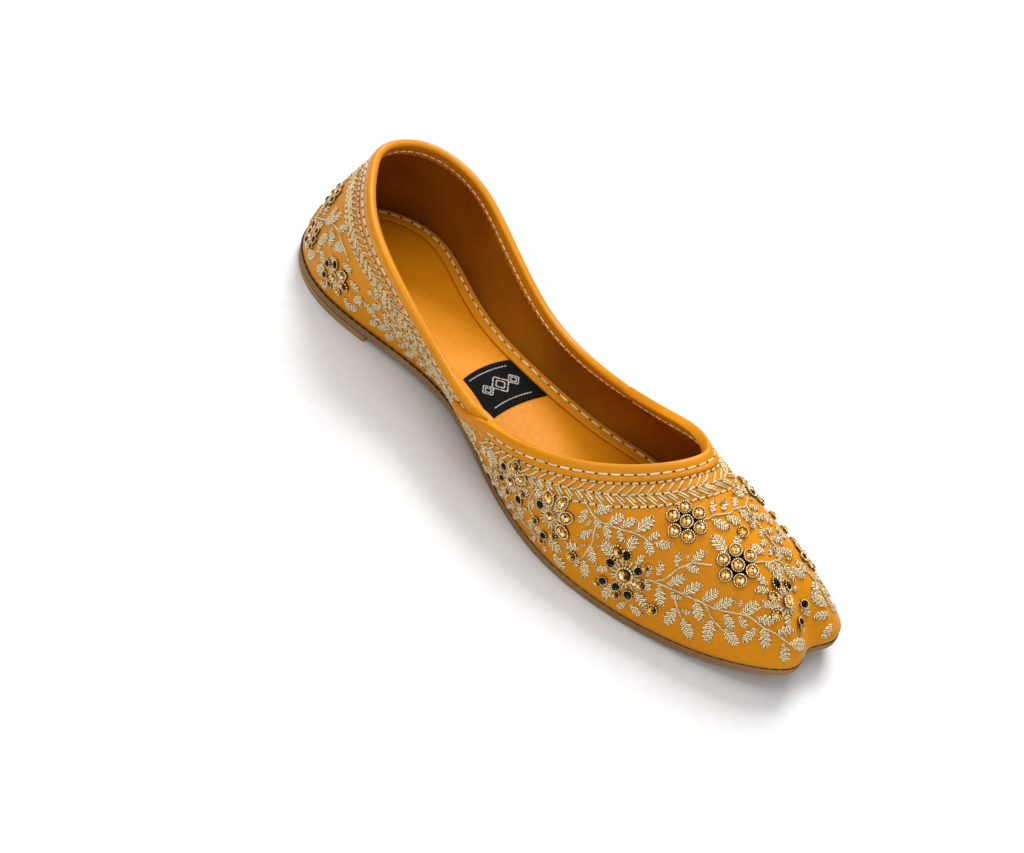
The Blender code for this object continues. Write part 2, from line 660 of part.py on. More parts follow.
make_outsole()
make_heel_lift()
make_upper(mustard)
make_binding("vamp_binding", SEAM_OUTER + SEAM_GAP, SEAM_INNER - SEAM_GAP, mustard)
make_binding("quarter_binding", SEAM_INNER + SEAM_GAP, TURN + SEAM_OUTER - SEAM_GAP, mustard)
insole_curve, insole_total = insole_outline()
make_insole(insole_curve, insole_total, panel_leather)
make_insole_border(insole_curve, insole_total, mustard)
make_label(insole_curve, insole_total)
for each in FLOWERS:
    make_flower(each, stone_metal)
centre_on_floor()
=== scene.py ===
"""Looks of the embroidered slip-on flat: fine leather, stitches, thread embroidery and stones.

The shoe is worked out on its last, in millimetres: `across` is positive to the outer side, `along`
runs from the heel to the toe and `height` is above the floor. A place on the upper is a pair
(around, up): around is the section number, 0 at the heel, by the outer side to 10 at the toe and
back by the inner side to 20; up is 0 at the foot of the wall and 1 at the top line.
"""
import math
from collections import namedtuple

import bpy
import numpy as np
from mathutils import Matrix, Vector


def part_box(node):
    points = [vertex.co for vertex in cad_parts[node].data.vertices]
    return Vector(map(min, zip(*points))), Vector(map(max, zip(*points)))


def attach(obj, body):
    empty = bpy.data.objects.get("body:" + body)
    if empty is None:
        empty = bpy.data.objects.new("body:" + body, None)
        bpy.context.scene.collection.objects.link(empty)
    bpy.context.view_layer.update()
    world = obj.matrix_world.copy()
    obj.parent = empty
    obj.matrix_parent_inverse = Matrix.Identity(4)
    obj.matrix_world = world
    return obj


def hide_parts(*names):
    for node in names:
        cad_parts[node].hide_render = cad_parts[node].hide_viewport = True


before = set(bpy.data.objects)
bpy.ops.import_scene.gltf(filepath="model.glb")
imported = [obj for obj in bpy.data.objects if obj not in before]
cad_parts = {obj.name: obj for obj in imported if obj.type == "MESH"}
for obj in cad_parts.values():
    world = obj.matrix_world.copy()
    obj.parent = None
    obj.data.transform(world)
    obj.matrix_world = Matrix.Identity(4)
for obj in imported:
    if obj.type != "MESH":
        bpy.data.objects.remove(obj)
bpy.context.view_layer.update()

MM = 0.001
ROUND = 2 * math.pi

# ---- the last, as in the CAD part
LENGTH = 250.0
BALL_WIDTH = 70.0
INSTEP_HEIGHT = 44.0
HEEL_HEIGHT = 51.0
WALL = 1.8
GAP = 0.3
MARGIN = 1.5
SEAM_STEP = 0.5
SEAM_OUTER, SEAM_INNER = 5.0, 14.2
SEAM_HALF_WIDTH = 0.05
LAP_LOW, LAP_HIGH = 0.7, 0.8
SOLE_THICKNESS = 3.1
SOLE_OUTSET = 0.7
LIFT_TOP = 2.2
LIFT_LENGTH = 62.0
LIFT_FRONT_BOW = 4.0
ARCH_RISE = 3.3
TOE_SPRING = 7.5
INSOLE_THICKNESS = 2.4
INSOLE_CLEARANCE = 0.4
INSOLE_NOSE = 97.2
BORDER_WIDTH = 6.0
BORDER_THICKNESS = 1.0
LABEL_START = 99.8
LABEL_LENGTH = 19.5
LABEL_THICKNESS = 0.5
PERCENT = 0.01

# foot_along and top_along are percent of LENGTH, foot_across and top_across percent of
# BALL_WIDTH, top_height percent of full_height, and the swell of the wall at one and two thirds
# of its height, outward and upward, percent of LENGTH.
Section = namedtuple(
    "Section", "name foot_across foot_along top_across top_along full_height top_height "
    "belly_out belly_up crown_out crown_up")
SECTIONS = [
    Section("back", 0.0, 0.0, 0.0, 8.0, HEEL_HEIGHT, 100, 0.8, 0.0, 0.6, 0.0),
    Section("counter_outer", 24.3, 2.4, 17.1, 11.2, HEEL_HEIGHT, 99, 0.6, 0.0, 0.4, 0.0),
    Section("heel_outer", 44.3, 13.2, 37.9, 18.8, HEEL_HEIGHT, 93, 0.6, 0.0, 0.6, 0.0),
    Section("shank_outer", 39.3, 28.8, 47.9, 28.8, HEEL_HEIGHT, 77, 0.4, 0.0, 0.4, 0.0),
    Section("waist_outer", 37.9, 41.6, 52.1, 40.0, INSTEP_HEIGHT, 68, 0.6, 0.0, 0.4, 0.0),
    Section("joint_outer", 49.7, 54.4, 57.9, 50.8, INSTEP_HEIGHT, 64, 0.8, 0.0, 0.5, 0.0),
    Section("ball_outer", 59.3, 68.0, 51.4, 61.6, INSTEP_HEIGHT, 74, 1.0, 0.4, 1.0, 0.4),
    Section("side_outer", 52.9, 80.0, 35.7, 69.0, INSTEP_HEIGHT, 87, 1.2, 1.2, 1.2, 0.8),
    Section("corner_outer", 34.3, 92.8, 18.6, 73.2, INSTEP_HEIGHT, 97, 1.4, 2.0, 0.8, 1.6),
    Section("lobe_outer", 10.0, 100.4, 7.1, 74.6, INSTEP_HEIGHT, 100, 1.2, 2.4, 0.4, 2.0),
    Section("cleft", -4.3, 99.4, 0.7, 74.8, INSTEP_HEIGHT, 100, 1.0, 2.2, 0.4, 2.0),
    Section("lobe_inner", -18.6, 100.4, -5.0, 74.4, INSTEP_HEIGHT, 100, 0.7, 2.0, 0.2, 1.6),
    Section("corner_inner", -37.1, 95.6, -11.4, 71.6, INSTEP_HEIGHT, 98, 0.0, 0.7, 0.0, 0.5),
    Section("side_inner", -37.1, 83.2, -13.6, 66.4, INSTEP_HEIGHT, 90, 0.6, 1.6, 0.3, 1.2),
    Section("ball_inner", -38.6, 71.2, -15.7, 60.0, INSTEP_HEIGHT, 78, 0.8, 0.8, 0.8, 0.4),
    Section("joint_inner", -28.6, 57.2, -22.9, 50.4, INSTEP_HEIGHT, 62, 0.6, 0.0, 0.6, 0.0),
    Section("waist_inner", -20.0, 43.2, -26.4, 40.0, INSTEP_HEIGHT, 64, 0.4, 0.0, 0.4, 0.0),
    Section("shank_inner", -26.4, 28.8, -31.4, 28.4, HEEL_HEIGHT, 76, 0.4, 0.0, 0.4, 0.0),
    Section("heel_inner", -42.9, 12.8, -32.1, 18.0, HEEL_HEIGHT, 96, 0.6, 0.0, 0.6, 0.0),
    Section("counter_inner", -27.1, 2.4, -18.6, 10.2, HEEL_HEIGHT, 103, 0.6, 0.0, 0.6, 0.0),
]
TURN = len(SECTIONS)
TOE_SECTION = 10

SoleRow = namedtuple("SoleRow", "along height")
UNDERSIDE = [
    SoleRow(-8, LIFT_TOP + GAP),
    SoleRow(8, LIFT_TOP + GAP),
    SoleRow(25, LIFT_TOP + 1.4 * GAP),
    SoleRow(40, ARCH_RISE),
    SoleRow(60, 0.0),
    SoleRow(78, 0.0),
    SoleRow(90, 0.27 * TOE_SPRING),
    SoleRow(100, TOE_SPRING),
    SoleRow(104, 1.33 * TOE_SPRING),
]


def clamped_curve(knots, values, at):
    """Cubic through the knots that never overshoots them."""
    knots = np.asarray(knots, float)
    values = np.asarray(values, float)
    steps = np.diff(knots)
    slopes = np.diff(values) / steps
    tangents = np.zeros_like(knots)
    tangents[0], tangents[-1] = slopes[0], slopes[-1]
    for i in range(1, len(knots) - 1):
        if slopes[i - 1] * slopes[i] > 0:
            before = 2 * steps[i] + steps[i - 1]
            after = steps[i] + 2 * steps[i - 1]
            tangents[i] = (before + after) / (before / slopes[i - 1] + after / slopes[i])
    at = np.clip(at, knots[0], knots[-1])
    i = np.clip(np.searchsorted(knots, at) - 1, 0, len(knots) - 2)
    t = (at - knots[i]) / steps[i]
    ease = t * t * (3 - 2 * t)
    bend = steps[i] * (t * (1 - t) ** 2 * tangents[i] - t * t * (1 - t) * tangents[i + 1])
    return values[i] * (1 - ease) + values[i + 1] * ease + bend


class ClosedSpline:
    """Smooth closed cubic through rows of numbers, each row at its own knot."""

    def __init__(self, knots, rows):
        count = len(rows)
        gaps = np.diff(knots)
        matrix = np.zeros((count, count))
        right = np.zeros_like(rows)
        for i in range(count):
            after = (i + 1) % count
            matrix[i, i - 1] += gaps[i - 1]
            matrix[i, i] += 2 * (gaps[i - 1] + gaps[i])
            matrix[i, after] += gaps[i]
            right[i] = 6 * ((rows[after] - rows[i]) / gaps[i] - (rows[i] - rows[i - 1]) / gaps[i - 1])
        self.bends = np.linalg.solve(matrix, right)
        self.knots, self.rows, self.gaps, self.count = knots, rows, gaps, count

    def __call__(self, at):
        at = np.atleast_1d(np.mod(at, self.knots[-1]))
        i = np.clip(np.searchsorted(self.knots, at, side="right") - 1, 0, self.count - 1)
        j = (i + 1) % self.count
        left = (self.knots[i + 1] - at)[:, None]
        right = (at - self.knots[i])[:, None]
        gap = self.gaps[i][:, None]
        curved = (self.bends[i] * left ** 3 + self.bends[j] * right ** 3) / (6 * gap)
        straight_i = (self.rows[i] / gap - self.bends[i] * gap / 6) * left
        straight_j = (self.rows[j] / gap - self.bends[j] * gap / 6) * right
        return curved + straight_i + straight_j


def run_along(points):
    """Distance along a row of points from the first of them to each."""
    return np.concatenate([[0.0], np.cumsum(np.linalg.norm(np.diff(points, axis=0), axis=1))])


def chord_knots(points, power):
    steps = np.linalg.norm(np.roll(points, -1, 0) - points, axis=1) ** power
    return np.concatenate([[0.0], np.cumsum(steps)])


def unit(vectors):
    return vectors / np.linalg.norm(vectors, axis=-1, keepdims=True)


def outward(tangents):
    """Unit directions in plan, square to those of a line that runs round by the outer side."""
    tangents = unit(tangents)
    return np.column_stack([tangents[:, 1], -tangents[:, 0]])


def plan_normals(outline):
    """Outward directions of a closed plan outline."""
    return outward(np.roll(outline, -1, 0) - np.roll(outline, 1, 0))


def sole_top(along):
    knots = [row.along * PERCENT * LENGTH for row in UNDERSIDE]
    return clamped_curve(knots, [row.height for row in UNDERSIDE], along) + SOLE_THICKNESS


def section_rows():
    rows = []
    for s in SECTIONS:
        plan = [s.foot_across * BALL_WIDTH, s.foot_along * LENGTH,
                s.top_across * BALL_WIDTH, s.top_along * LENGTH]
        height = [s.top_height * s.full_height]
        swell = [value * LENGTH for value in (s.belly_out, s.belly_up, s.crown_out, s.crown_up)]
        rows.append(plan + height + swell)
    return np.array(rows) * PERCENT


ROWS = section_rows()
KNOTS = chord_knots((ROWS[:, :2] + ROWS[:, 2:4]) / 2, 0.6)
SPLINE = ClosedSpline(KNOTS, ROWS)


def section_data(around):
    return SPLINE(np.interp(np.mod(around, TURN), np.arange(TURN + 1), KNOTS))


def foot_frame(around):
    """Foot of the wall in plan and its outward direction in plan."""
    step = 0.002
    foot = section_data(around)[:, :2]
    return foot, outward((section_data(around + step) - section_data(around - step))[:, :2])


def is_vamp(around):
    """1 on the vamp, 0 on the quarter, and from one to the other across a seam."""
    around = np.mod(around, TURN)
    rise = (around - SEAM_OUTER) / SEAM_HALF_WIDTH
    fall = (SEAM_INNER - around) / SEAM_HALF_WIDTH
    return np.clip(np.minimum(rise, fall), -1, 1) / 2 + 0.5


def smooth_skin(around, up):
    """Outer face of the wall without the lap at the side seams, one point for each pair."""
    data = section_data(around)
    foot2, out2 = foot_frame(around)
    foot = np.column_stack([foot2, sole_top(foot2[:, 1]) + GAP + MARGIN])
    top = data[:, 2:5]
    out = np.column_stack([out2, np.zeros(len(out2))])
    upward = np.array([0.0, 0.0, 1.0])
    belly = foot + (top - foot) / 3 + out * data[:, 5:6] + upward * data[:, 6:7]
    crown = foot + (top - foot) * 2 / 3 + out * data[:, 7:8] + upward * data[:, 8:9]
    t = np.reshape(np.asarray(up, float), (-1, 1))
    return (
        -4.5 * (t - 1 / 3) * (t - 2 / 3) * (t - 1) * foot
        + 13.5 * t * (t - 2 / 3) * (t - 1) * belly
        - 13.5 * t * (t - 1 / 3) * (t - 1) * crown
        + 4.5 * t * (t - 1 / 3) * (t - 2 / 3) * top
    )


def reach(around, up):
    """Change of place for one unit of around and for one of up."""
    low = np.clip(up, 0.004, 0.996) - 0.004
    sideways = (smooth_skin(around + 0.01, up) - smooth_skin(around - 0.01, up)) / 0.02
    upward = (smooth_skin(around, low + 0.008) - smooth_skin(around, low)) / 0.008
    return sideways, upward


def turned(x, y, angle):
    """A step (x, y) turned by an angle."""
    cos, sin = np.cos(angle), np.sin(angle)
    return x * cos - y * sin, x * sin + y * cos


def skin(around, up, out=0.0):
    """Points on the wall, a way out from its outer face, and the normals there."""
    around, up = np.broadcast_arrays(np.asarray(around, float), np.asarray(up, float))
    around, up = around.ravel(), up.ravel()
    sideways, upward = reach(around, up)
    normals = unit(np.cross(sideways, upward))
    below_binding = np.clip((LAP_HIGH - up) / (LAP_HIGH - LAP_LOW), 0, 1)
    step = SEAM_STEP * is_vamp(around) * below_binding
    lift = step + np.asarray(out, float).ravel()
    return smooth_skin(around, up) + normals * np.reshape(lift, (-1, 1)), normals


def even_sections(count, start=0.0, end=TURN):
    """Section numbers spaced evenly along the wall's middle line."""
    fine = np.linspace(start, end, 4001)
    data = section_data(fine)
    middle = (data[:, :2] + data[:, 2:4]) / 2
    run = run_along(middle)
    return np.interp(np.linspace(0, run[-1], count), run, fine)


def row_frame_shift():
    """How far the CAD part was moved to stand centred over the origin."""
    foot, out = foot_frame(even_sections(81)[:-1])
    edge = foot + out * SOLE_OUTSET
    low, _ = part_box("outsole")
    return low.x / MM + edge[:, 0].max(), low.y / MM - LENGTH / 2 + edge[:, 1].max()


SHIFT_X, SHIFT_Y = row_frame_shift()


def to_row(points):
    """From the last, in millimetres, to the frame, in metres: toe to -Y, outer side to -X."""
    points = np.asarray(points, float)
    return np.stack([SHIFT_X - points[..., 0],
                     LENGTH / 2 + SHIFT_Y - points[..., 1],
                     points[..., 2]], axis=-1) * MM


# ---- meshes
def grid_faces(rows, columns, wrap_rows=False, wrap_columns=False):
    """Quads between the points of a grid stored row by row."""
    i = np.arange(rows if wrap_rows else rows - 1)
    j = np.arange(columns if wrap_columns else columns - 1)
    i, j = np.meshgrid(i, j, indexing="ij")
    i, j = i.ravel(), j.ravel()
    below, right = (i + 1) % rows, (j + 1) % columns
    return np.column_stack([i * columns + j, i * columns + right,
                            below * columns + right, below * columns + j])


def piece(name, points, faces, materials, slots=None, smooth=True, replaces=(), uv=None, shade=None):
    """One object of the shoe from points on the last and faces of equally many corners."""
    faces = np.asarray(faces)
    mesh = bpy.data.meshes.new(name)
    mesh.vertices.add(len(points))
    mesh.vertices.foreach_set("co", to_row(points).astype(np.float32).ravel())
    count, corners = faces.shape
    mesh.loops.add(count * corners)
    mesh.loops.foreach_set("vertex_index", faces.astype(np.int32).ravel())
    mesh.polygons.add(count)
    mesh.polygons.foreach_set("loop_start", np.arange(0, count * corners, corners, dtype=np.int32))
    if slots is not None:
        mesh.polygons.foreach_set("material_index", np.asarray(slots, np.int32))
    mesh.update(calc_edges=True)
    if uv is not None:
        layer = mesh.uv_layers.new(name="thread")
        layer.data.foreach_set("uv", uv[faces.ravel()].astype(np.float32).ravel())
    if shade is not None:
        values = mesh.attributes.new("shade", "FLOAT", "POINT")
        values.data.foreach_set("value", shade.astype(np.float32))
    for each in materials if isinstance(materials, (list, tuple)) else [materials]:
        mesh.materials.append(each)
    mesh.polygons.foreach_set("use_smooth", np.full(count, smooth))
    obj = bpy.data.objects.new(name, mesh)
    bpy.context.scene.collection.objects.link(obj)
    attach(obj, "root")
    if replaces:
        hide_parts(*replaces)
    return obj


def closed_strip(name, lines, material, replaced, wrap=False):
    """Piece between closed lines, each of equally many points; wrap joins the last to the first."""
    grid = np.array(lines)
    faces = grid_faces(len(grid), grid.shape[1], wrap, True)
    return piece(name, grid.reshape(-1, 3), faces, material, replaces=[replaced])


# ---- materials
class Look:
    """A procedural material, its nodes added one after another."""

    def __init__(self, name, constants):
        self.material = bpy.data.materials.new(name)
        self.material.use_nodes = True
        self.tree = self.material.node_tree
        self.shader = self.tree.nodes["Principled BSDF"]
        self.place = self.add("ShaderNodeTexCoord").outputs["Object"]
        for socket, value in constants.items():
            self.shader.inputs[socket].default_value = value

    def feed(self, node, socket, value):
        """Link an output into a socket, or set the socket to a number or colour."""
        if hasattr(value, "is_linked"):
            self.tree.links.new(value, node.inputs[socket])
        else:
            node.inputs[socket].default_value = value

    def add(self, kind, inputs=None, **settings):
        node = self.tree.nodes.new(kind)
        for setting, value in settings.items():
            setattr(node, setting, value)
        for socket, value in (inputs or {}).items():
            self.feed(node, socket, value)
        return node

    def shade(self):
        """The tone that each point of the mesh carries."""
        return self.add("ShaderNodeAttribute", attribute_name="shade").outputs["Fac"]

    def plies(self, twist, scale, distortion, detail_scale):
        """Uneven bands across the thread, turned by `twist` degrees."""
        coords = self.add("ShaderNodeTexCoord").outputs["UV"]
        turn = (0, 0, math.radians(twist))
        turned = self.add("ShaderNodeMapping", {"Vector": coords, "Rotation": turn})
        bands = {"Vector": turned.outputs["Vector"], "Scale": scale, "Distortion": distortion,
                 "Detail Scale": detail_scale}
        return self.add("ShaderNodeTexWave", bands, bands_direction="X").outputs["Fac"]

    def noise(self, size, detail=3.0, rough=0.55, warp=0.0):
        """Noise whose blobs are about `size` millimetres across."""
        blobs = {"Vector": self.place, "Scale": 1.0 / (size * MM), "Detail": detail,
                 "Roughness": rough, "Distortion": warp}
        return self.add("ShaderNodeTexNoise", blobs).outputs["Fac"]

    def cells(self, size):
        """Distance to the nearest of random points about `size` millimetres apart."""
        spread = {"Vector": self.place, "Scale": 1.0 / (size * MM)}
        return self.add("ShaderNodeTexVoronoi", spread).outputs["Distance"]

    def ramp(self, factor, *stops):
        """Colours or numbers at places from 0 to 1 along a factor."""
        node = self.add("ShaderNodeValToRGB", {"Fac": factor})
        band = node.color_ramp
        while len(band.elements) < len(stops):
            band.elements.new(0.5)
        for element, (position, value) in zip(band.elements, stops):
            element.position = position
            element.color = (*value, 1.0) if isinstance(value, tuple) else (value, value, value, 1.0)
        return node.outputs["Color"]

    def math(self, operation, a, b, clamp=False):
        node = self.add("ShaderNodeMath", {0: a, 1: b}, operation=operation, use_clamp=clamp)
        return node.outputs["Value"]

    def mix(self, a, b, factor, blend="MIX"):
        a, b = [(*value, 1.0) if isinstance(value, tuple) else value for value in (a, b)]
        node = self.add("ShaderNodeMix", {0: factor, 6: a, 7: b}, data_type="RGBA", blend_type=blend)
        return node.outputs[2]

    def bump(self, height, depth, strength=1.0, under=None):
        """Relief `depth` millimetres deep, on top of another one if given."""
        relief = {"Height": height, "Distance": depth * MM, "Strength": strength}
        if under is not None:
            relief["Normal"] = under
        return self.add("ShaderNodeBump", relief).outputs["Normal"]

    def finish(self, colour, roughness, normal=None):
        self.feed(self.shader, "Base Color", colour)
        self.feed(self.shader, "Roughness", roughness)
        if normal is not None:
            self.feed(self.shader, "Normal", normal)
        return self.material


def leather(name, deep, main, light, gloss=0.42, grain=0.35, relief=0.05, shine=0.09):
    """Dyed leather: uneven dye, a fine pebbled grain and a few soft creases."""
    look = Look(name, {"Specular IOR Level": shine})
    cloud = look.noise(38, 2.0, 0.5)
    spots = look.noise(1.6, 4.0, 0.65)
    dye = look.ramp(cloud, (0.3, deep), (0.5, main), (0.72, light))
    fleck = look.ramp(spots, (0.32, 0.92), (0.6, 1.0))
    colour = look.mix(dye, fleck, 1.0, "MULTIPLY")
    pebbles = look.cells(grain)
    crease = look.noise(2.4, 5.0, 0.6, 0.6)
    rough = look.ramp(spots, (0.3, gloss + 0.08), (0.7, gloss - 0.05))
    relief_fine = look.bump(pebbles, relief, 0.5)
    normal = look.bump(crease, 3 * relief, 0.35, relief_fine)
    return look.finish(colour, rough, normal)


DYES = (0.63, 0.225, 0.004), (0.68, 0.248, 0.005), (0.73, 0.275, 0.007)
MUSTARD = leather("mustard_leather", *DYES)
ROLLED = leather("rolled_binding_leather", *DYES, 0.30, 0.35, 0.04, 0.13)
PANEL = leather("insole_panel_leather", (0.63, 0.215, 0.004), (0.70, 0.245, 0.005), (0.76, 0.28, 0.008),
                0.42, 0.5, 0.04)
LINING = leather("lining_suede", (0.21, 0.062, 0.001), (0.28, 0.088, 0.002), (0.36, 0.12, 0.004),
                 0.75, 0.2, 0.08)
SOLE_EDGE = leather("sole_edge_leather", (0.22, 0.12, 0.05), (0.30, 0.165, 0.07), (0.38, 0.22, 0.10),
                    0.6, 0.25, 0.08)
LIFT_LEATHER = leather("heel_stack_leather", (0.28, 0.16, 0.075), (0.38, 0.225, 0.11), (0.46, 0.285, 0.15),
                       0.6, 0.25, 0.08)
LABEL = leather("label_weave", (0.002, 0.002, 0.0025), (0.003, 0.003, 0.0035), (0.005, 0.005, 0.0055),
                0.8, 0.3, 0.05)


# ---- lines on the wall
def ups_at_depth(around, depth):
    """How high on the wall a line lies that runs `depth` millimetres below the top line."""
    levels = np.linspace(1.0, 0.0, 81)
    count = len(around)
    points = smooth_skin(np.repeat(around, 81), np.tile(levels, count)).reshape(count, 81, 3)
    steps = np.linalg.norm(np.diff(points, axis=1), axis=2)
    runs = np.column_stack([np.zeros(count), np.cumsum(steps, axis=1)])
    depths = np.broadcast_to(depth, count)
    return np.array([np.interp(d, run, levels) for d, run in zip(depths, runs)])


# ---- upper
UPPER_COLUMNS, UPPER_ROWS = 420, 41


def make_upper():
    around = even_sections(UPPER_COLUMNS + 1)[:-1]
    seams = [s + x * SEAM_HALF_WIDTH for s in (SEAM_OUTER, SEAM_INNER) for x in (-1.2, -0.4, 0.4, 1.2)]
    around = np.sort(np.concatenate([around, seams]))
    columns = len(around)
    levels = np.linspace(0, 1, UPPER_ROWS)
    rows = []
    for out in (0.0, -WALL):
        lines = [skin(around, np.full(columns, up), out)[0] for up in levels]
        foot = lines[0].copy()
        foot[:, 2] = sole_top(foot[:, 1]) + GAP
        lines.insert(0, foot)
        rows.append(lines)
    grid = np.array(rows[0] + rows[1][::-1])
    faces = grid_faces(len(grid), columns, True, True)
    slots = np.repeat(np.arange(len(grid)) >= UPPER_ROWS, columns)
    return piece("upper_leather", grid.reshape(-1, 3), faces, [MUSTARD, LINING], slots,
                 replaces=["upper"])


# Section of the binding from its lower outer edge over the rim to its lower inner edge. depth is
# below the top line and out is from the wall's outer face; pull is how much a stitch pulls it in.
Fold = namedtuple("Fold", "depth out pull")
INSIDE = -WALL
INNER_STITCH = 3.9      # depth of the stitches inside
FOLD = [
    Fold(5.5, 0.05, 0.0),
    Fold(5.6, 0.35, 0.0),
    Fold(5.35, 0.80, 0.0),
    Fold(4.7, 0.98, 0.0),
    Fold(4.1, 0.95, 0.3),
    Fold(3.5, 0.80, 1.0),
    Fold(2.9, 1.10, 0.3),
    Fold(2.2, 1.38, 0.0),
    Fold(1.2, 1.50, 0.0),
    Fold(0.3, 1.42, 0.0),
    Fold(-0.6, 1.05, 0.0),
    Fold(-1.2, 0.40, 0.0),
    Fold(-1.42, 0.5 * INSIDE, 0.0),
    Fold(-1.2, INSIDE - 0.40, 0.0),
    Fold(-0.6, INSIDE - 1.05, 0.0),
    Fold(0.3, INSIDE - 1.42, 0.0),
    Fold(1.3, INSIDE - 1.50, 0.0),
    Fold(2.5, INSIDE - 1.40, 0.0),
    Fold(3.3, INSIDE - 1.20, 0.3),
    Fold(INNER_STITCH, INSIDE - 0.95, 1.0),
    Fold(4.5, INSIDE - 1.10, 0.3),
    Fold(5.1, INSIDE - 1.05, 0.0),
    Fold(5.5, INSIDE - 0.75, 0.0),
    Fold(5.6, INSIDE - 0.10, 0.0),
]
BINDING_STEP = 0.5
# How full each roll stands outside, inside and over the rim, against FOLD.
VAMP_FULL, QUARTER_FULL = (0.84, 0.30, 0.22), (0.68, 0.30, 0.60)
SCALLOP = 0.40          # waves of the cut edge inside, one to a stitch
INNER_PITCH = 3.1
HEEL_LEG, VAMP_LEG = 1.1, 0.45      # the leg inside is this much deeper there, as a share
HEEL_REACH = 4.0        # sections from the heel back over which it grows shallower
STITCH_PULL = 0.16      # how far out the leg inside stands between two stitches
END_RADIUS = 2.6        # of the rolls' closed ends
CORE_DEPTH = 1.6        # of the line in the roll about which it thins out
# At the outer seam the vamp's roll starts low on the quarter and climbs over it, and the quarter's
# roll slips inside and thins out. CROSSING and TAIL are in sections, the rest in millimetres.
CROSSING, CLIMB, CLIMB_DROP, CLIMB_OUT = 0.46, 21.0, 3.6, 2.7
TAIL, TAIL_INSET, TAIL_DROP = 0.38, 1.4, 0.8
INNER_CROSSING = 0.045


def rounded_end(run):
    """Share of the full section near a closed end, run millimetres along from it."""
    near = np.clip(run / END_RADIUS, 0, 1)
    return np.sqrt(np.clip(1 - (1 - near) ** 2, 0, 1))


def make_binding(name, start, end, replaced, slim=False):
    """One roll; the slim one, of the quarter, thins out at its far end."""
    fine = np.linspace(start, end, 1200)
    run = run_along(smooth_skin(fine, np.ones(len(fine))))
    count = int(run[-1] / BINDING_STEP)
    spots = np.linspace(0, run[-1], count)
    around = np.interp(spots, run, fine)
    top, out = skin(around, np.ones(count))
    below, _ = skin(around, np.full(count, 0.97))
    rise = unit(top - below)
    ends = np.minimum(rounded_end(spots), rounded_end(run[-1] - spots))
    if slim:
        past = np.clip((around - (TURN + SEAM_OUTER - 0.1)) / (TAIL + 0.1), 0, 1)
        inward, drop = TAIL_INSET * past ** 0.65, TAIL_DROP * past ** 2
        ends = ends * (1 - 0.6 * past ** 3)
        near_heel = np.clip(1 - np.abs(around - TURN) / HEEL_REACH, 0, 1) ** 0.7
    else:
        climb = np.clip(1 - spots / CLIMB, 0, 1)
        climb = climb * climb * (3 - 2 * climb)
        inward, drop = -CLIMB_OUT * climb, CLIMB_DROP * climb
        ends = ends * (1 - 0.32 * climb)
        near_heel = np.full(count, VAMP_LEG / HEEL_LEG)
    wave = np.cos(ROUND * spots / INNER_PITCH)
    outside, inside, over = QUARTER_FULL if slim else VAMP_FULL
    lines = []
    for row in FOLD:
        depth, reach_out = row.depth, row.out
        if depth < 0:
            depth = depth * over
        if reach_out > 0:
            reach_out *= outside
        elif reach_out < INSIDE:
            reach_out = INSIDE + (reach_out - INSIDE) * inside
        if row.out < INSIDE and row.depth > 3:
            reach_out = reach_out + STITCH_PULL * row.pull * (0.5 + 0.5 * wave)
            depth = depth + HEEL_LEG * near_heel * max(row.depth - INNER_STITCH, 0.0)
            depth = depth + SCALLOP * wave * (row.depth > 5)
        if row.depth > 0:
            place, direction = skin(around, ups_at_depth(around, depth))
        else:
            place, direction = top - rise * depth, out
        lines.append(place + direction * np.reshape(reach_out, (-1, 1)))
    grid = np.array(lines)
    core = (top - rise * CORE_DEPTH - out * WALL / 2)[None]
    grid = core + (grid - core) * ends[None, :, None]
    grid -= (out * inward[:, None] + rise * drop[:, None])[None]
    faces = grid_faces(len(grid), count)
    return piece(name, grid.reshape(-1, 3), faces, ROLLED, replaces=[replaced])


# ---- sole and insole
# Edge of a flat piece: share of its thickness below its top, and how far in from its outline.
Edge = namedtuple("Edge", "depth inset")
SOLE_PROFILE = [Edge(0.0, 0.5), Edge(0.06, 0.12), Edge(0.15, 0.0), Edge(0.40, 0.0), Edge(0.46, 0.16),
                Edge(0.52, 0.16), Edge(0.58, 0.0), Edge(0.82, 0.05), Edge(0.93, 0.25), Edge(1.0, 0.7)]
LIFT_PROFILE = [Edge(0.0, 0.3), Edge(0.08, 0.05), Edge(0.2, 0.0), Edge(0.8, 0.0), Edge(0.93, 0.15),
                Edge(1.0, 0.5)]
INSOLE_PROFILE = [Edge(0.0, 0.4), Edge(0.1, 0.1), Edge(0.25, 0.0), Edge(1.0, 0.0)]
FILL_SHARES = (0.93, 0.8, 0.6, 0.4, 0.2, 0.0)


HEEL_INSET, TOE_INSET = 14.0, 12.0      # the middle line of a flat piece ends short of its edge


def slab(name, outline, thickness, profile, top_height, material, replaced):
    """Flat piece with a shaped edge, its faces drawn in towards its own middle line."""
    low, high = outline[:, 1].min(), outline[:, 1].max()
    spots = np.linspace(low, high, 60)
    mids = []
    for y in spots:
        near = np.abs(outline[:, 1] - y) < 6.0
        mids.append((outline[near, 0].min() + outline[near, 0].max()) / 2)
    squeeze = np.clip(outline[:, 1], low + HEEL_INSET, high - TOE_INSET)
    middle = np.column_stack([np.interp(squeeze, spots, mids), squeeze])
    edges = [(outline - plan_normals(outline) * row.inset, row.depth) for row in profile]
    first, last = edges[0][0], edges[-1][0]
    rings = [(middle + (first - middle) * share, 0.0) for share in FILL_SHARES[::-1]]
    rings += edges
    rings += [(middle + (last - middle) * share, 1.0) for share in FILL_SHARES]
    lines = [np.column_stack([ring, top_height(ring[:, 1]) - depth * thickness])
             for ring, depth in rings]
    return closed_strip(name, lines[::-1], material, replaced)


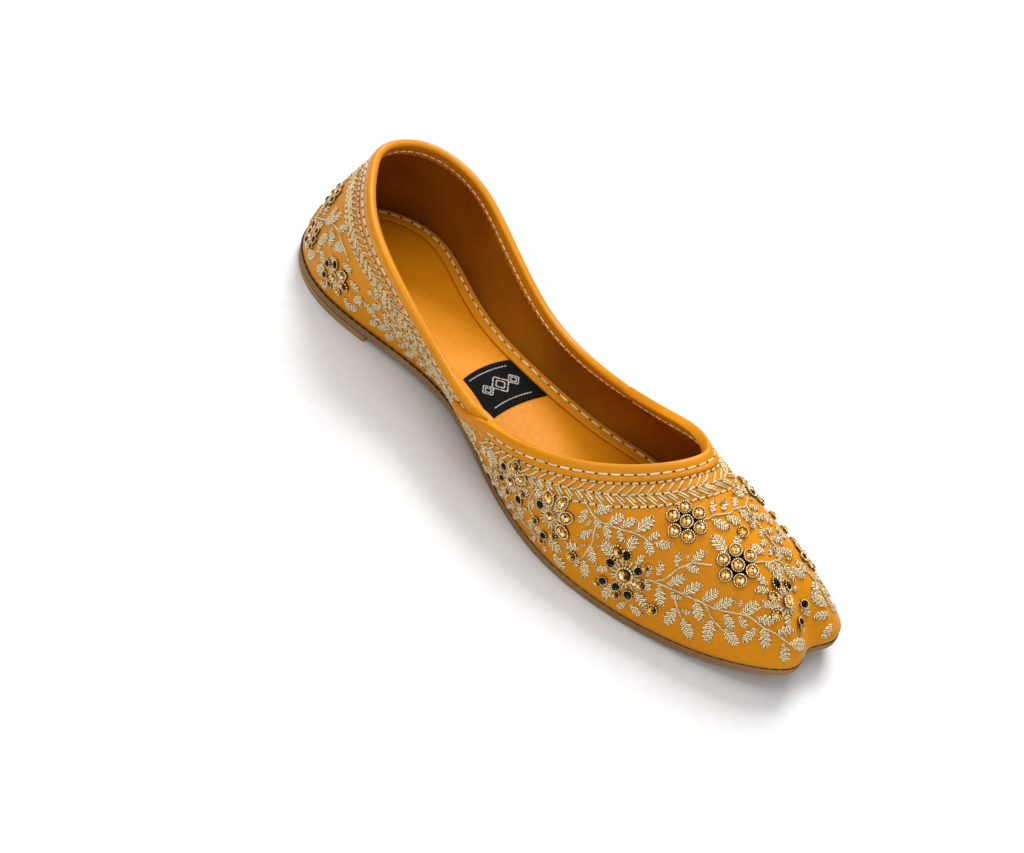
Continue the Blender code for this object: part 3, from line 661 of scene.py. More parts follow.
def make_sole():
    around = even_sections(361)[:-1]
    foot, out = foot_frame(around)
    outline = foot + out * SOLE_OUTSET
    slab("outsole_leather", outline, SOLE_THICKNESS, SOLE_PROFILE, sole_top, SOLE_EDGE, "outsole")
    inside = outline[:, 1] < LIFT_LENGTH
    first = int(np.argmin(inside))
    rear = np.roll(outline, -first, 0)[np.roll(inside, -first)]
    share = np.linspace(0, 1, 40)[1:-1, None]
    front = rear[-1] + (rear[0] - rear[-1]) * share
    front[:, 1] -= LIFT_FRONT_BOW * np.sin(math.pi * share[:, 0])
    flat = lambda along: np.full(len(along), LIFT_TOP)
    slab("heel_lift_leather", np.vstack([rear, front]), LIFT_TOP, LIFT_PROFILE, flat, LIFT_LEATHER,
         "heel_lift")


def insole_curve():
    """Closed plan curve just inside the foot of the upper, as in the CAD part."""
    step = 0.5
    low_band = GAP + 2 * INSOLE_THICKNESS + BORDER_THICKNESS
    ups = np.linspace(0, 0.3, 25)
    rear = np.arange(0, TOE_SECTION - 3 * step, step)
    front = np.arange(TOE_SECTION + 4 * step, TURN, step)
    lines = []
    for number in np.concatenate([rear, front]):
        foot, out = foot_frame(number)
        points, normals = skin(number, ups)
        inner = points - normals * WALL
        low = inner[inner[:, 2] < sole_top(foot[:, 1])[0] + low_band]
        lean = ((foot[0] - low[:, :2]) * out[0]).sum(axis=1).max()
        lines.append(foot[0] - out[0] * (max(lean, WALL) + INSOLE_CLEARANCE))
    nose = np.array([ROWS[TOE_SECTION, 0], INSOLE_NOSE * PERCENT * LENGTH])
    lines.insert(len(rear), nose)
    rows = np.array(lines)
    knots = chord_knots(rows, 1.0)
    return ClosedSpline(knots, rows), knots[-1]


INSOLE_CURVE, INSOLE_TOTAL = insole_curve()
PANEL_TOP = GAP + INSOLE_THICKNESS      # above the sole
BORDER_TOP = PANEL_TOP + GAP + BORDER_THICKNESS


def insole_line(count, inset):
    outline = INSOLE_CURVE(np.linspace(0, INSOLE_TOTAL, count, endpoint=False))
    return outline - plan_normals(outline) * inset


def make_insole():
    raised = lambda along: sole_top(along) + PANEL_TOP
    slab("insole_panel", insole_line(300, 0.0), INSOLE_THICKNESS, INSOLE_PROFILE, raised, PANEL, "insole")


# From the strip's outer foot over its top; depth here is a share of its thickness, upward.
BORDER_SECTION = [Edge(-0.02, 0.3), Edge(0.6, 0.15), Edge(0.9, 0.45), Edge(1.0, 1.0), Edge(1.0, 3.0),
                  Edge(0.96, 4.6), Edge(0.85, 5.5), Edge(0.6, 5.9), Edge(0.0, 6.0)]


def make_border():
    lines = []
    for row in BORDER_SECTION:
        line = insole_line(500, row.inset)
        height = sole_top(line[:, 1]) + PANEL_TOP + GAP + row.depth * BORDER_THICKNESS
        lines.append(np.column_stack([line, height]))
    closed_strip("insole_border_strip", lines, MUSTARD, "insole_border", True)


LABEL_BOW = 1.6         # how far the label's long edges curve towards the heel


def label_sides(alongs):
    """Outer and inner end of the label at places along the insole."""
    inner = insole_line(800, BORDER_WIDTH + 0.4)
    near = np.abs(inner[:, 1] - LABEL_START) < 2 * LABEL_LENGTH
    sides = []
    for side in (inner[near & (inner[:, 0] > 0)], inner[near & (inner[:, 0] < 0)]):
        side = side[np.argsort(side[:, 1])]
        sides.append(np.interp(alongs, side[:, 1], side[:, 0]))
    return sides


def label_middle():
    outer, inner = label_sides(np.array([LABEL_START + LABEL_LENGTH / 2]))
    return (outer[0] + inner[0]) / 2


def make_label():
    alongs = np.linspace(LABEL_START, LABEL_START + LABEL_LENGTH, 21)
    outer, inner = label_sides(alongs)
    share = np.linspace(0, 1, 31)
    plan = np.empty((21, 31, 3))
    plan[..., 0] = inner[:, None] * (1 - share) + outer[:, None] * share
    plan[..., 1] = alongs[:, None] - LABEL_BOW * (1 - (2 * share - 1) ** 2)
    base = sole_top(plan[..., 1].ravel()).reshape(21, 31) + PANEL_TOP + GAP
    plan[..., 2] = base + LABEL_THICKNESS
    rim = np.vstack([plan[0], plan[1:-1, -1], plan[-1, ::-1], plan[-2:0:-1, 0]])
    foot = rim - [0.0, 0.0, LABEL_THICKNESS + 0.2]
    faces = grid_faces(21, 31)
    edge = grid_faces(2, len(rim), False, True) + 21 * 31
    points = np.vstack([plan.reshape(-1, 3), foot, rim])
    piece("label_ribbon", points, np.vstack([faces, edge]), LABEL, replaces=["label_patch"])


# ---- small shapes laid on the wall
def shifted(around, up, x, y):
    """The place x millimetres round the shoe and y millimetres up the wall from another."""
    sideways, upward = reach(around, up)
    side = unit(sideways)
    ahead = unit(np.cross(np.cross(sideways, upward), side))
    rise = np.asarray(y) / (upward * ahead).sum(axis=1)
    lean = (upward * side).sum(axis=1)
    return around + (x - lean * rise) / np.linalg.norm(sideways, axis=1), up + rise


def offset_between(around, up, to_around, to_up):
    """Millimetres round the shoe and up the wall from one place to a near one."""
    sideways, upward = reach(around, up)
    side = unit(sideways)
    ahead = unit(np.cross(np.cross(sideways, upward), side))
    step = smooth_skin(to_around, to_up) - smooth_skin(around, up)
    return (step * side).sum(axis=1), (step * ahead).sum(axis=1)


def strand_shape(stations, sides=5):
    """Half-round strand one unit long, wide and high, tapered into the leather at its ends."""
    points, uv = [], []
    for x, full in stations:
        for k in range(sides):
            angle = math.pi * k / (sides - 1)
            points.append((x, -0.5 * full * math.cos(angle), full * math.sin(angle)))
            uv.append((x + 0.5, k / (sides - 1)))
    rows = np.arange(len(stations) * sides).reshape(len(stations), sides)
    faces = []
    for i in range(len(stations) - 1):
        for k in range(sides - 1):
            faces.append((rows[i, k], rows[i + 1, k], rows[i + 1, k + 1], rows[i, k + 1]))
    return np.array(points), np.array(faces), np.array(uv)


STRAND = strand_shape([(-0.5, 0.35), (-0.40, 0.85), (0.0, 1.0), (0.40, 0.92), (0.5, 0.45)])
STITCH = strand_shape([(-0.5, 0.2), (-0.46, 0.6), (-0.36, 0.92), (-0.12, 1.0), (0.12, 1.0),
                       (0.36, 0.92), (0.46, 0.6), (0.5, 0.2)], 7)


def strand_shade(shape, chance):
    """A random tone for each strand, with painted shade where its sides and ends sink into the leather."""
    uv = shape[2]
    sunk_in_painted_shade = (np.abs(uv[:, 1] - 0.5) > 0.49) | (np.abs(uv[:, 0] - 0.5) > 0.49)
    return ((0.3 + 0.7 * chance)[:, None] * np.where(sunk_in_painted_shade, 0.0, 1.0)[None]).ravel()


class Strands:
    """Threads that follow the wall, gathered into one mesh."""

    def __init__(self, shape=STRAND, inside=False):
        self.shape, self.rows = shape, []
        self.turn, self.face = (-1.0, -WALL) if inside else (1.0, 0.0)

    def add(self, *numbers):
        """Strands: two numbers for the place, then angle, length, width, height and how far out."""
        columns = np.broadcast_arrays(*(np.asarray(v, float) for v in numbers))
        self.rows.append(np.column_stack([c.ravel() for c in columns]))

    def laid(self, around, up, x, y, out):
        """Points x round and y up from places on the wall, a way out from its face."""
        places = shifted(around.ravel(), up.ravel(), x.ravel(), y.ravel())
        return skin(*places, self.turn * out.ravel() + self.face)[0]

    def build(self, name, look, seed):
        shape, faces, uv = self.shape
        rows = np.vstack(self.rows)
        count, corners = len(rows), len(shape)
        spread = np.repeat(rows[:, None], corners, axis=1)
        first, second, angle, length, width, height, out = np.moveaxis(spread, 2, 0)
        step = turned(self.turn * shape[:, 0] * length, shape[:, 1] * width, angle)
        points = self.laid(first, second, *step, out + shape[:, 2] * height)
        every = (faces[None] + np.arange(count)[:, None, None] * corners).reshape(-1, 4)
        chance = np.random.default_rng(seed).random(count)
        thread_uv = np.stack([uv[:, 0] * length + 10 * chance[:, None], uv[:, 1] * width], axis=-1)
        return piece(name, points, every, look, uv=thread_uv.reshape(-1, 2),
                     shade=strand_shade(self.shape, chance))


class FlatStrands(Strands):
    """Threads on the insole, its border or the label, which all follow the sole's curve."""

    def laid(self, across, along, x, y, lift):
        along = (along + y).ravel()
        return np.column_stack([(across + x).ravel(), along, sole_top(along) + lift.ravel()])

    def segment(self, start, end, width, height, lift):
        """One strand from a point to another, both (across, along)."""
        step = np.subtract(end, start)
        middle = np.add(start, end) / 2
        self.add(*middle, math.atan2(step[1], step[0]), np.hypot(*step), width, height, lift)


class Line:
    """A line on the wall, measured along its length."""

    def __init__(self, around, up):
        self.around, self.up = np.asarray(around, float), np.asarray(up, float)
        self.run = run_along(smooth_skin(self.around, self.up))
        self.length = self.run[-1]

    def at(self, distance):
        around = np.interp(distance, self.run, self.around)
        return around, np.interp(distance, self.run, self.up)

    def heading(self, distance):
        """Angle of the line from straight round the shoe."""
        here = np.clip(distance, 0.4, self.length - 0.4)
        x, y = offset_between(*self.at(here - 0.3), *self.at(here + 0.3))
        return np.arctan2(y, x)

    def stations(self, pitch):
        count = max(1, int(round(self.length / pitch)))
        return (np.arange(count) + 0.5) * self.length / count

    def dashes(self, strands, pitch, length, width, height, out, slant=0.0):
        """Stitches one after another along the line, each turned by `slant` degrees."""
        places = self.stations(pitch)
        angle = self.heading(places) + math.radians(slant)
        strands.add(*self.at(places), angle, length, width, height, out)


def depths_at(depths, around):
    """Depth at section numbers, from (section number, depth) pairs."""
    return np.interp(np.mod(around, TURN), *zip(*depths))


def depth_line(depths, start, end):
    """Line below the top line; depths gives (section number, depth) pairs."""
    around = np.linspace(start, end, 900)
    return Line(around, ups_at_depth(around, depths_at(depths, around)))


def curve_line(points):
    """Smooth line through a few places on the wall."""
    spots = np.array(points, float)
    ends = [2 * spots[0] - spots[1], 2 * spots[-1] - spots[-2]]
    spots = np.vstack([ends[0], spots, ends[1]])
    t = np.linspace(0, 1, 12, endpoint=False)[:, None]
    parts = []
    for a, b, c, d in zip(spots, spots[1:], spots[2:], spots[3:]):
        parts.append(0.5 * (2 * b + (c - a) * t + (2 * a - 5 * b + 4 * c - d) * t ** 2
                            + (3 * b - a - 3 * c + d) * t ** 3))
    path = np.vstack(parts + [spots[-2][None]])
    return Line(path[:, 0], path[:, 1])


# ---- thread
def thread(name, dark, light, twist, rough=0.42, shine=0.25):
    """Spun thread: plies that wind round it, with painted shade between them and painted highlight on them,
    and fine uneven fibres.
    """
    look = Look(name, {"Metallic": shine, "Specular IOR Level": 0.4})
    ply = look.plies(twist, 0.85, 1.2, 3.0)
    fibre = look.noise(0.25, 3.0, 0.6)
    base = look.mix(dark, light, look.ramp(ply, (0.05, 0.25), (0.5, 1.0)))
    # The shade attribute: a random tone for each strand, with painted shade where it sinks into the leather.
    uneven = look.ramp(look.shade(), (0.0, 0.08), (0.26, 0.80), (0.6, 0.98), (1.0, 1.18))
    fleck = look.ramp(fibre, (0.35, 0.72), (0.6, 1.05))
    colour = look.mix(look.mix(base, uneven, 1.0, "MULTIPLY"), fleck, 1.0, "MULTIPLY")
    normal = look.bump(ply, 0.12, 0.7)
    return look.finish(colour, look.ramp(fibre, (0.3, rough + 0.1), (0.7, rough - 0.06)),
                       look.bump(fibre, 0.05, 0.5, normal))


GOLD_THREAD = thread("gold_embroidery_thread", (0.30, 0.15, 0.03), (1.0, 0.79, 0.44), 62)
CREAM_THREAD = thread("cream_stitching_thread", (0.60, 0.43, 0.22), (1.0, 0.90, 0.68), 38, 0.5, 0.05)
PALE_THREAD = thread("pale_lining_thread", (0.80, 0.62, 0.30), (1.0, 0.94, 0.62), 38, 0.5, 0.0)


def satin(name):
    """Satin stitch: the shade attribute is painted shade in the grooves and painted highlight on the raised
    parts; the threads lie along each lobe, with painted shade in the dark lines between them.
    """
    look = Look(name, {"Metallic": 0.15, "Specular IOR Level": 0.4})
    ply = look.ramp(look.plies(0, 0.40, 4.5, 0.55), (0.10, 0.25), (0.42, 1.0))
    fibre = look.noise(0.45, 3.0, 0.7)
    uneven = look.math("MULTIPLY", look.math("SUBTRACT", fibre, 0.5), 0.9)
    tone = look.math("ADD", look.math("MULTIPLY", look.shade(), ply), uneven, True)
    colour = look.ramp(tone, (0.0, (0.07, 0.024, 0.003)), (0.22, (0.27, 0.125, 0.022)),
                       (0.46, (0.62, 0.40, 0.14)), (0.74, (0.92, 0.71, 0.37)), (1.0, (1.0, 0.97, 0.78)))
    return look.finish(colour, look.ramp(fibre, (0.3, 0.48), (0.7, 0.30)), look.bump(tone, 0.2, 0.9))


SATIN = satin("satin_embroidery")
SILVER_THREAD = thread("silver_label_thread", (0.16, 0.15, 0.14), (0.62, 0.58, 0.53), 55, 0.5, 0.1)
# Near-black seam thread: its own dark colour and painted shade of the groove it lies in.
SEAM_THREAD_AND_SHADE = thread("seam_thread_and_painted_shade", (0.010, 0.004, 0.002), (0.035, 0.015, 0.006), 45, 0.6, 0.0)
# Dark marks that paint the shade in needle holes and in the gaps of the cords.
HOLE_SHADOW_LOOK = leather("needle_hole_shadow", (0.05, 0.018, 0.004), (0.07, 0.025, 0.005), (0.09, 0.03, 0.007),
                    0.8, 0.2, 0.05)


# ---- stitches of the binding
# Depths below the top line, in millimetres, each at a section number.
STITCH_DEPTHS = [(0, 3.9), (3.5, 3.7), (5, 3.3), (14.2, 3.3), (16.5, 3.7), (20, 3.9)]
INNER_CORD = [(0, 7.3), (3, 6.7), (4.8, 6.2), (6, 5.95), (8, 6.0), (10, 6.2), (12, 6.0), (14, 6.1),
              (16.5, 6.7), (20, 7.3)]
SPINE = [(0, 11.4), (3, 10.4), (4.8, 9.4), (6, 9.0), (7, 9.6), (10, 10.1), (12, 9.8), (14, 9.4),
         (16.5, 10.4), (20, 11.4)]
OUTER_CORD = [(0, 15.6), (3, 14.0), (4.8, 12.8), (6, 12.4), (7, 13.4), (10, 14.3), (12, 13.6),
              (14, 12.8), (16.5, 14.0), (20, 15.6)]
# Sections between which the vamp and the quarter lie, clear of the seams.
VAMP = (SEAM_OUTER + 0.06, SEAM_INNER - 0.06)
QUARTER = (SEAM_INNER + 0.06, TURN + SEAM_OUTER - 0.06)
OUTER_PITCH = 4.1
# Length, width and height of a stitch, and of the dark mark that paints the shade of a needle hole, in
# millimetres.
TOPLINE_STITCH, LINING_STITCH, NEEDLE_HOLE_SHADOW = (3.35, 0.66, 0.5), (2.5, 0.46, 0.42), (1.05, 0.6, 0.3)


def make_binding_stitches():
    outer, inner = Strands(STITCH), Strands(STITCH, inside=True)
    hole_shadows = Strands(STRAND)
    for start, end, out, depth_inside in ((*VAMP, 0.62, 0.30), (*QUARTER, 0.46, 0.28)):
        line = depth_line(STITCH_DEPTHS, start, end)
        line.dashes(outer, OUTER_PITCH, *TOPLINE_STITCH, out)
        spots = line.stations(OUTER_PITCH)
        between = (spots[:-1] + spots[1:]) / 2
        # Dark marks between the stitches: painted shade in the needle holes.
        hole_shadows.add(*line.at(between), line.heading(between), *NEEDLE_HOLE_SHADOW, out - 0.02)
        lining = depth_line([(0, INNER_STITCH), (TURN, INNER_STITCH)], start, end)
        lining.dashes(inner, INNER_PITCH, *LINING_STITCH, depth_inside)
    outer.build("topline_stitches", CREAM_THREAD, 11)
    inner.build("lining_stitches", PALE_THREAD, 12)
    hole_shadows.build("topline_needle_hole_shadows", HOLE_SHADOW_LOOK, 13)


# ---- the plaited band
CORD_PITCH, PLAIT_PITCH = 2.7, 3.25
PLAIT_LEAN = math.radians(42)
PLAIT_START, PLAIT_CLEAR = 0.35, 0.75   # how far its threads keep from the spine and from a cord
VAMP_PLAIT, QUARTER_PLAIT = 0.76, 0.60  # width of its threads
TWIST = 9               # degrees that the stitches of a cord or stem turn from its line


def make_band():
    """Three cords below the top line, and pairs of threads that slant between them."""
    cords, plait, under = Strands(STITCH), Strands(STRAND), Strands(STRAND)
    for start, end in (VAMP, (0.0, QUARTER[1] - TURN), (QUARTER[0], float(TURN))):
        for depths, width in ((INNER_CORD, 0.85), (SPINE, 0.8), (OUTER_CORD, 0.85)):
            line = depth_line(depths, start, end)
            line.dashes(cords, CORD_PITCH, 2.25, width, 0.6, 0.0, TWIST)
            # Dark strands under each cord: painted shade in the gaps between its stitches.
            line.dashes(under, CORD_PITCH, 3.1, 0.62, 0.16, 0.0, TWIST)
        spine = depth_line(SPINE, start, end)
        spots = spine.stations(PLAIT_PITCH)
        around, up = spine.at(spots)
        angle = spine.heading(spots)
        away = 1.0 if start < TOE_SECTION else -1.0
        full = VAMP_PLAIT if start == VAMP[0] else QUARTER_PLAIT
        for side, edge in ((1.0, INNER_CORD), (-1.0, OUTER_CORD)):
            room = np.abs(depths_at(edge, around) - depths_at(SPINE, around)) - PLAIT_CLEAR
            lean = side * away * PLAIT_LEAN
            long = room / math.sin(PLAIT_LEAN)
            for across, share in ((-0.42, 0.96), (0.42, 0.86)):
                middle = PLAIT_START + long * share / 2
                x = away * middle * math.cos(lean) + across * math.sin(lean) * side
                y = side * middle * math.sin(PLAIT_LEAN) + across * math.cos(lean)
                spot = shifted(around, up, *turned(x, y, angle))
                plait.add(*spot, angle + lean, long * share, full, full, 0.0)
    cords.build("embroidered_cords", GOLD_THREAD, 21)
    under.build("embroidered_cord_gap_shadows", HOLE_SHADOW_LOOK, 23)
    plait.build("embroidered_plait", GOLD_THREAD, 22)


def ring_points(radius, height, sides, turn=0.0):
    angles = ROUND * (np.arange(sides) + turn) / sides
    return np.column_stack([radius * np.cos(angles), radius * np.sin(angles), np.full(sides, height)])


def lathe_points(profile, sides):
    rings = [ring_points(radius, height, sides) for radius, height in profile]
    return np.vstack(rings), grid_faces(len(profile), sides, False, True)


def joined(parts):
    """One set of points and faces from several pairs of them."""
    starts = np.cumsum([0] + [len(points) for points, _ in parts])
    return (np.vstack([points for points, _ in parts]),
            np.vstack([faces + start for (_, faces), start in zip(parts, starts)]))


Gem = namedtuple("Gem", "kind around up wide long")
# Stones here stand squarer than the wall, which folds in at the toe between two broad faces.
TOE_FOLD, TOE_FACES = (9.0, 10.5), (8.6, 10.4)
FACE_WEIGHT, FOLD_LIFT = 0.8, 0.6


def planted(shape, gem, angle, out, height):
    """Points of a stiff shape that stands on the wall; a long one narrows away from a centre."""
    place, normal = skin(gem.around, gem.up, out)
    if TOE_FOLD[0] < gem.around < TOE_FOLD[1]:
        beside = [skin(number, gem.up)[1] for number in TOE_FACES]
        normal = unit(normal + FACE_WEIGHT * sum(beside))
        place = place + normal * FOLD_LIFT
    sideways, _ = reach(gem.around, gem.up)
    side = unit(sideways)[0]
    ahead = np.cross(normal[0], side)
    taper = 1 - 0.70 * (gem.long / gem.wide - 1) * shape[:, 0]
    x, y = turned(shape[:, 0] * gem.long, shape[:, 1] * gem.wide * taper, angle)
    return place[0] + np.outer(x, side) + np.outer(y, ahead) + np.outer(shape[:, 2] * height, normal[0])


# ---- where the stones are
# Stones of the mixed flowers: kind, place and size, the middle one first.
SIDE_FLOWER = [
    Gem("smoky", 7.165, 0.255, 5.6, 5.6), Gem("amber", 7.10, 0.395, 2.9, 4.0),
    Gem("jet", 7.205, 0.395, 2.5, 2.9), Gem("jet", 7.00, 0.302, 2.5, 2.7),
    Gem("jet", 7.335, 0.32, 2.3, 2.6), Gem("amber", 7.42, 0.35, 1.9, 2.3),
    Gem("crystal", 7.265, 0.235, 2.6, 3.2), Gem("amber", 7.345, 0.232, 2.9, 3.0),
    Gem("jet", 6.89, 0.14, 2.3, 2.5), Gem("amber", 6.82, 0.10, 2.0, 2.2),
    Gem("jet", 7.05, 0.15, 2.3, 2.8), Gem("amber", 7.04, 0.092, 2.3, 2.8),
    Gem("jet", 7.19, 0.135, 2.5, 2.7),
]
JOINT_FLOWER = [
    Gem("crystal", 6.21, 0.44, 4.0, 4.0), Gem("crystal", 6.18, 0.60, 3.0, 4.2),
    Gem("crystal", 6.37, 0.61, 3.0, 4.4), Gem("crystal", 6.43, 0.50, 3.2, 3.9),
    Gem("crystal", 6.38, 0.36, 3.0, 4.2), Gem("jet", 6.07, 0.495, 2.4, 2.6),
    Gem("amber", 6.25, 0.27, 2.2, 2.8), Gem("jet", 6.10, 0.20, 2.2, 2.5),
    Gem("amber", 6.06, 0.13, 2.0, 2.3), Gem("amber", 5.98, 0.29, 2.2, 2.6),
]
SEAM_FLOWER = [
    Gem("crystal", 5.65, 0.51, 3.9, 3.9), Gem("amber", 5.70, 0.70, 2.6, 3.6),
    Gem("crystal", 5.79, 0.62, 2.6, 3.2), Gem("jet", 5.53, 0.62, 2.2, 2.4),
    Gem("jet", 5.50, 0.46, 2.1, 2.4), Gem("amber", 5.58, 0.35, 2.2, 2.6),
    Gem("jet", 5.76, 0.38, 2.3, 2.7), Gem("amber", 5.82, 0.48, 2.4, 2.9),
]
TOE_FLOWER = [
    Gem("crystal", 9.17, 0.262, 4.0, 4.0), Gem("jet", 9.06, 0.352, 2.4, 3.4),
    Gem("jet", 9.50, 0.308, 2.3, 3.0), Gem("jet", 10.27, 0.192, 2.2, 2.7),
    Gem("jet", 9.45, 0.152, 2.2, 2.7), Gem("amber", 8.91, 0.305, 2.5, 2.9),
    Gem("amber", 8.86, 0.230, 2.7, 3.0), Gem("amber", 9.42, 0.128, 2.0, 2.2),
]
HEEL_FLOWER = [
    Gem("crystal", 2.15, 0.24, 3.9, 3.9), Gem("crystal", 2.24, 0.35, 3.0, 3.6),
    Gem("amber", 2.31, 0.26, 3.0, 3.6), Gem("jet", 2.08, 0.36, 2.4, 3.0),
    Gem("jet", 1.98, 0.28, 2.3, 2.6), Gem("jet", 2.03, 0.16, 2.2, 2.5),
    Gem("amber", 2.14, 0.12, 2.3, 2.8), Gem("crystal", 2.26, 0.15, 2.4, 3.0),
]
SINGLE_STONES = [
    Gem("amber", 7.45, 0.115, 2.9, 2.9), Gem("amber", 8.98, 0.595, 2.9, 2.9),
    Gem("amber", 6.50, 0.19, 2.8, 2.8), Gem("amber", 11.52, 0.545, 2.6, 2.6),
    Gem("amber", 11.55, 0.46, 2.6, 2.6),
]
# Flowers on the sides that turn away: around, up and how far out their stones sit.
FAR_FLOWERS = [(11.55, 0.325, 5.0), (11.65, 0.675, 4.6), (1.40, 0.20, 4.4), (0.90, 0.48, 4.6),
               (17.90, 0.27, 5.0), (12.835, 0.265, 5.0), (13.79, 0.44, 4.6)]
CRYSTAL_FLOWERS = [(8.05, 0.665), (8.60, 0.455)]
MIXED_FLOWERS = [SIDE_FLOWER, JOINT_FLOWER, SEAM_FLOWER, TOE_FLOWER, HEEL_FLOWER]
FLOWER_PLACES = (CRYSTAL_FLOWERS + [(flower[0].around, flower[0].up) for flower in MIXED_FLOWERS]
                 + [row[:2] for row in FAR_FLOWERS])
FAR_MIDDLE, FAR_GEM = 3.9, (2.3, 2.8)   # sizes of their stones
RING_KINDS = ["jet", "amber", "crystal", "jet", "amber", "jet", "crystal", "amber"]


# ---- leaves and stems
LEAF_ROWS, LEAF_COLUMNS = 33, 9
LEAF_HEIGHT = 0.80
LEAF_LEAN = 0.62        # how far the lobes point ahead, against their reach to the side
LOBE_LENGTH, FEWEST_LOBES, MOST_LOBES = 1.55, 3, 5      # millimetres of vein to a lobe
RIB_WIDTH, EDGING_AT, EDGING_WIDTH = 0.16, 0.76, 0.12   # against the leaf's half width
LOOP_FROM = 3.5         # leaves longer than this may have a ring beside their tip
# Half width of a leaf, against its widest, along its vein.
LEAF_BODY = ([0.0, 0.08, 0.22, 0.42, 0.62, 0.80, 0.93, 1.0],
             [0.10, 0.45, 0.88, 1.0, 0.92, 0.66, 0.38, 0.05])
LOOP_SIZE, LOOP_OFFSET = 1.25, 0.55     # ring of thread beside a leaf's tip
# Its tone, from its hole to its rim: painted shade in the hole and at the rim's foot, bright on the ring
# between.
LOOP_PAINTED_SHADE = ([0.0, 0.2, 0.3, 0.46, 0.5], [0, 0, 0.9, 0.9, 0.2])
# It is one unit across, with a hole.
LOOP = lathe_points([(0.5, 0.0), (0.46, 0.5), (0.34, 0.62), (0.2, 0.4), (0.14, 0.1), (0.001, 0.1)], 10)


class Leaves:
    """Satin leaves: low lobed pads whose threads slant away from a raised vein."""

    def __init__(self):
        self.points, self.shade, self.uv, self.loops, self.count = [], [], [], [], 0

    def add(self, base_around, base_up, tip_around, tip_up, wide=0.64):
        share = np.linspace(0, 1, 9)
        vein = Line(base_around + (tip_around - base_around) * share,
                    base_up + (tip_up - base_up) * share)
        long = vein.length
        lobes = min(max(FEWEST_LOBES, round(long / LOBE_LENGTH)), MOST_LOBES)
        t = np.linspace(0, 1, LEAF_ROWS)
        across = np.linspace(-1, 1, LEAF_COLUMNS)
        t, across = np.meshgrid(t, across, indexing="ij")
        phase = lobes * t + np.where(across < 0, 0.0, 0.3) + 0.2 * math.sin(7.0 * self.count)
        lobe = np.abs(np.sin(math.pi * phase))
        reach_out = np.interp(t, *LEAF_BODY) * (0.52 + 0.48 * lobe ** 0.6)
        y = across * 0.5 * wide * long * reach_out
        spine = np.clip(t * long * 0.97 + LEAF_LEAN * np.abs(y), 0, 1.04 * long).ravel()
        flat = np.clip(1 - across ** 2, 0, 1) ** 0.4 * np.clip(8 * t * (1.01 - t) + 0.2, 0, 1)
        rib = np.exp(-(across / RIB_WIDTH) ** 2)
        edging = np.exp(-((np.abs(across) - EDGING_AT) / EDGING_WIDTH) ** 2)
        relief = 0.5 + 0.4 * lobe ** 0.5 * (1 - rib) + 0.45 * rib + 0.3 * edging
        height = LEAF_HEIGHT * flat * relief - 0.05
        places = np.clip(spine, 0, long)
        around, up = vein.at(places)
        angle = vein.heading(places)
        around, up = shifted(around, up, *turned(spine - places, y.ravel(), angle))
        points, _ = skin(around, up, height.ravel())
        self.points.append(points)
        # Painted shade in the grooves between the lobes, beside the vein and at the very edge; painted
        # highlight on the raised vein and edging.
        flank = 0.5 + 0.5 * np.tanh(10 * (np.abs(across) - 0.3))
        tone = (0.30 + 0.68 * lobe ** 0.45) * (0.5 + 0.5 * flank) * (1 - 0.6 * np.abs(across) ** 10)
        painted_highlight = np.maximum(0.95 * rib, (0.55 + 0.4 * lobe) * edging)
        self.shade.append(np.maximum(tone, painted_highlight).ravel())
        self.uv.append(np.column_stack([(t * long).ravel() + 13.7 * self.count, y.ravel()]))
        if long > LOOP_FROM and self.count % 3 != 1:
            self.loops.append((*vein.at(0.95 * long), float(angle[-1]), (-1) ** self.count))
        self.count += 1

    def build(self, name):
        one = grid_faces(LEAF_ROWS, LEAF_COLUMNS)[:, ::-1]
        points, faces = joined([(leaf, one) for leaf in self.points])
        piece(name, points, faces, SATIN, uv=np.vstack(self.uv), shade=np.concatenate(self.shade))
        shape, ring_faces = LOOP
        rings = []
        for around, up, angle, turn in self.loops:
            spot = shifted(around, up, *turned(0.0, -LOOP_OFFSET * turn, angle))
            ring = Gem("loop", spot[0][0], spot[1][0], LOOP_SIZE, LOOP_SIZE)
            rings.append((planted(shape, ring, 0.0, 0.15, 1.1), ring_faces))
        points, faces = joined(rings)
        tone = np.interp(np.hypot(shape[:, 0], shape[:, 1]), *LOOP_PAINTED_SHADE)
        piece(name + "_loops", points, faces, SATIN, uv=np.tile(shape[:, :2], (len(rings), 1)),
              shade=np.tile(tone, len(rings)))


STEM_PITCH, STEM_LENGTH, STEM_WIDTH, VINE_WIDTH = 1.25, 1.95, 0.62, 0.5


def add_stem(strands, points, wide=STEM_WIDTH):
    line = curve_line(points)
    line.dashes(strands, STEM_PITCH, STEM_LENGTH, wide, wide, 0.05, TWIST)
    return line


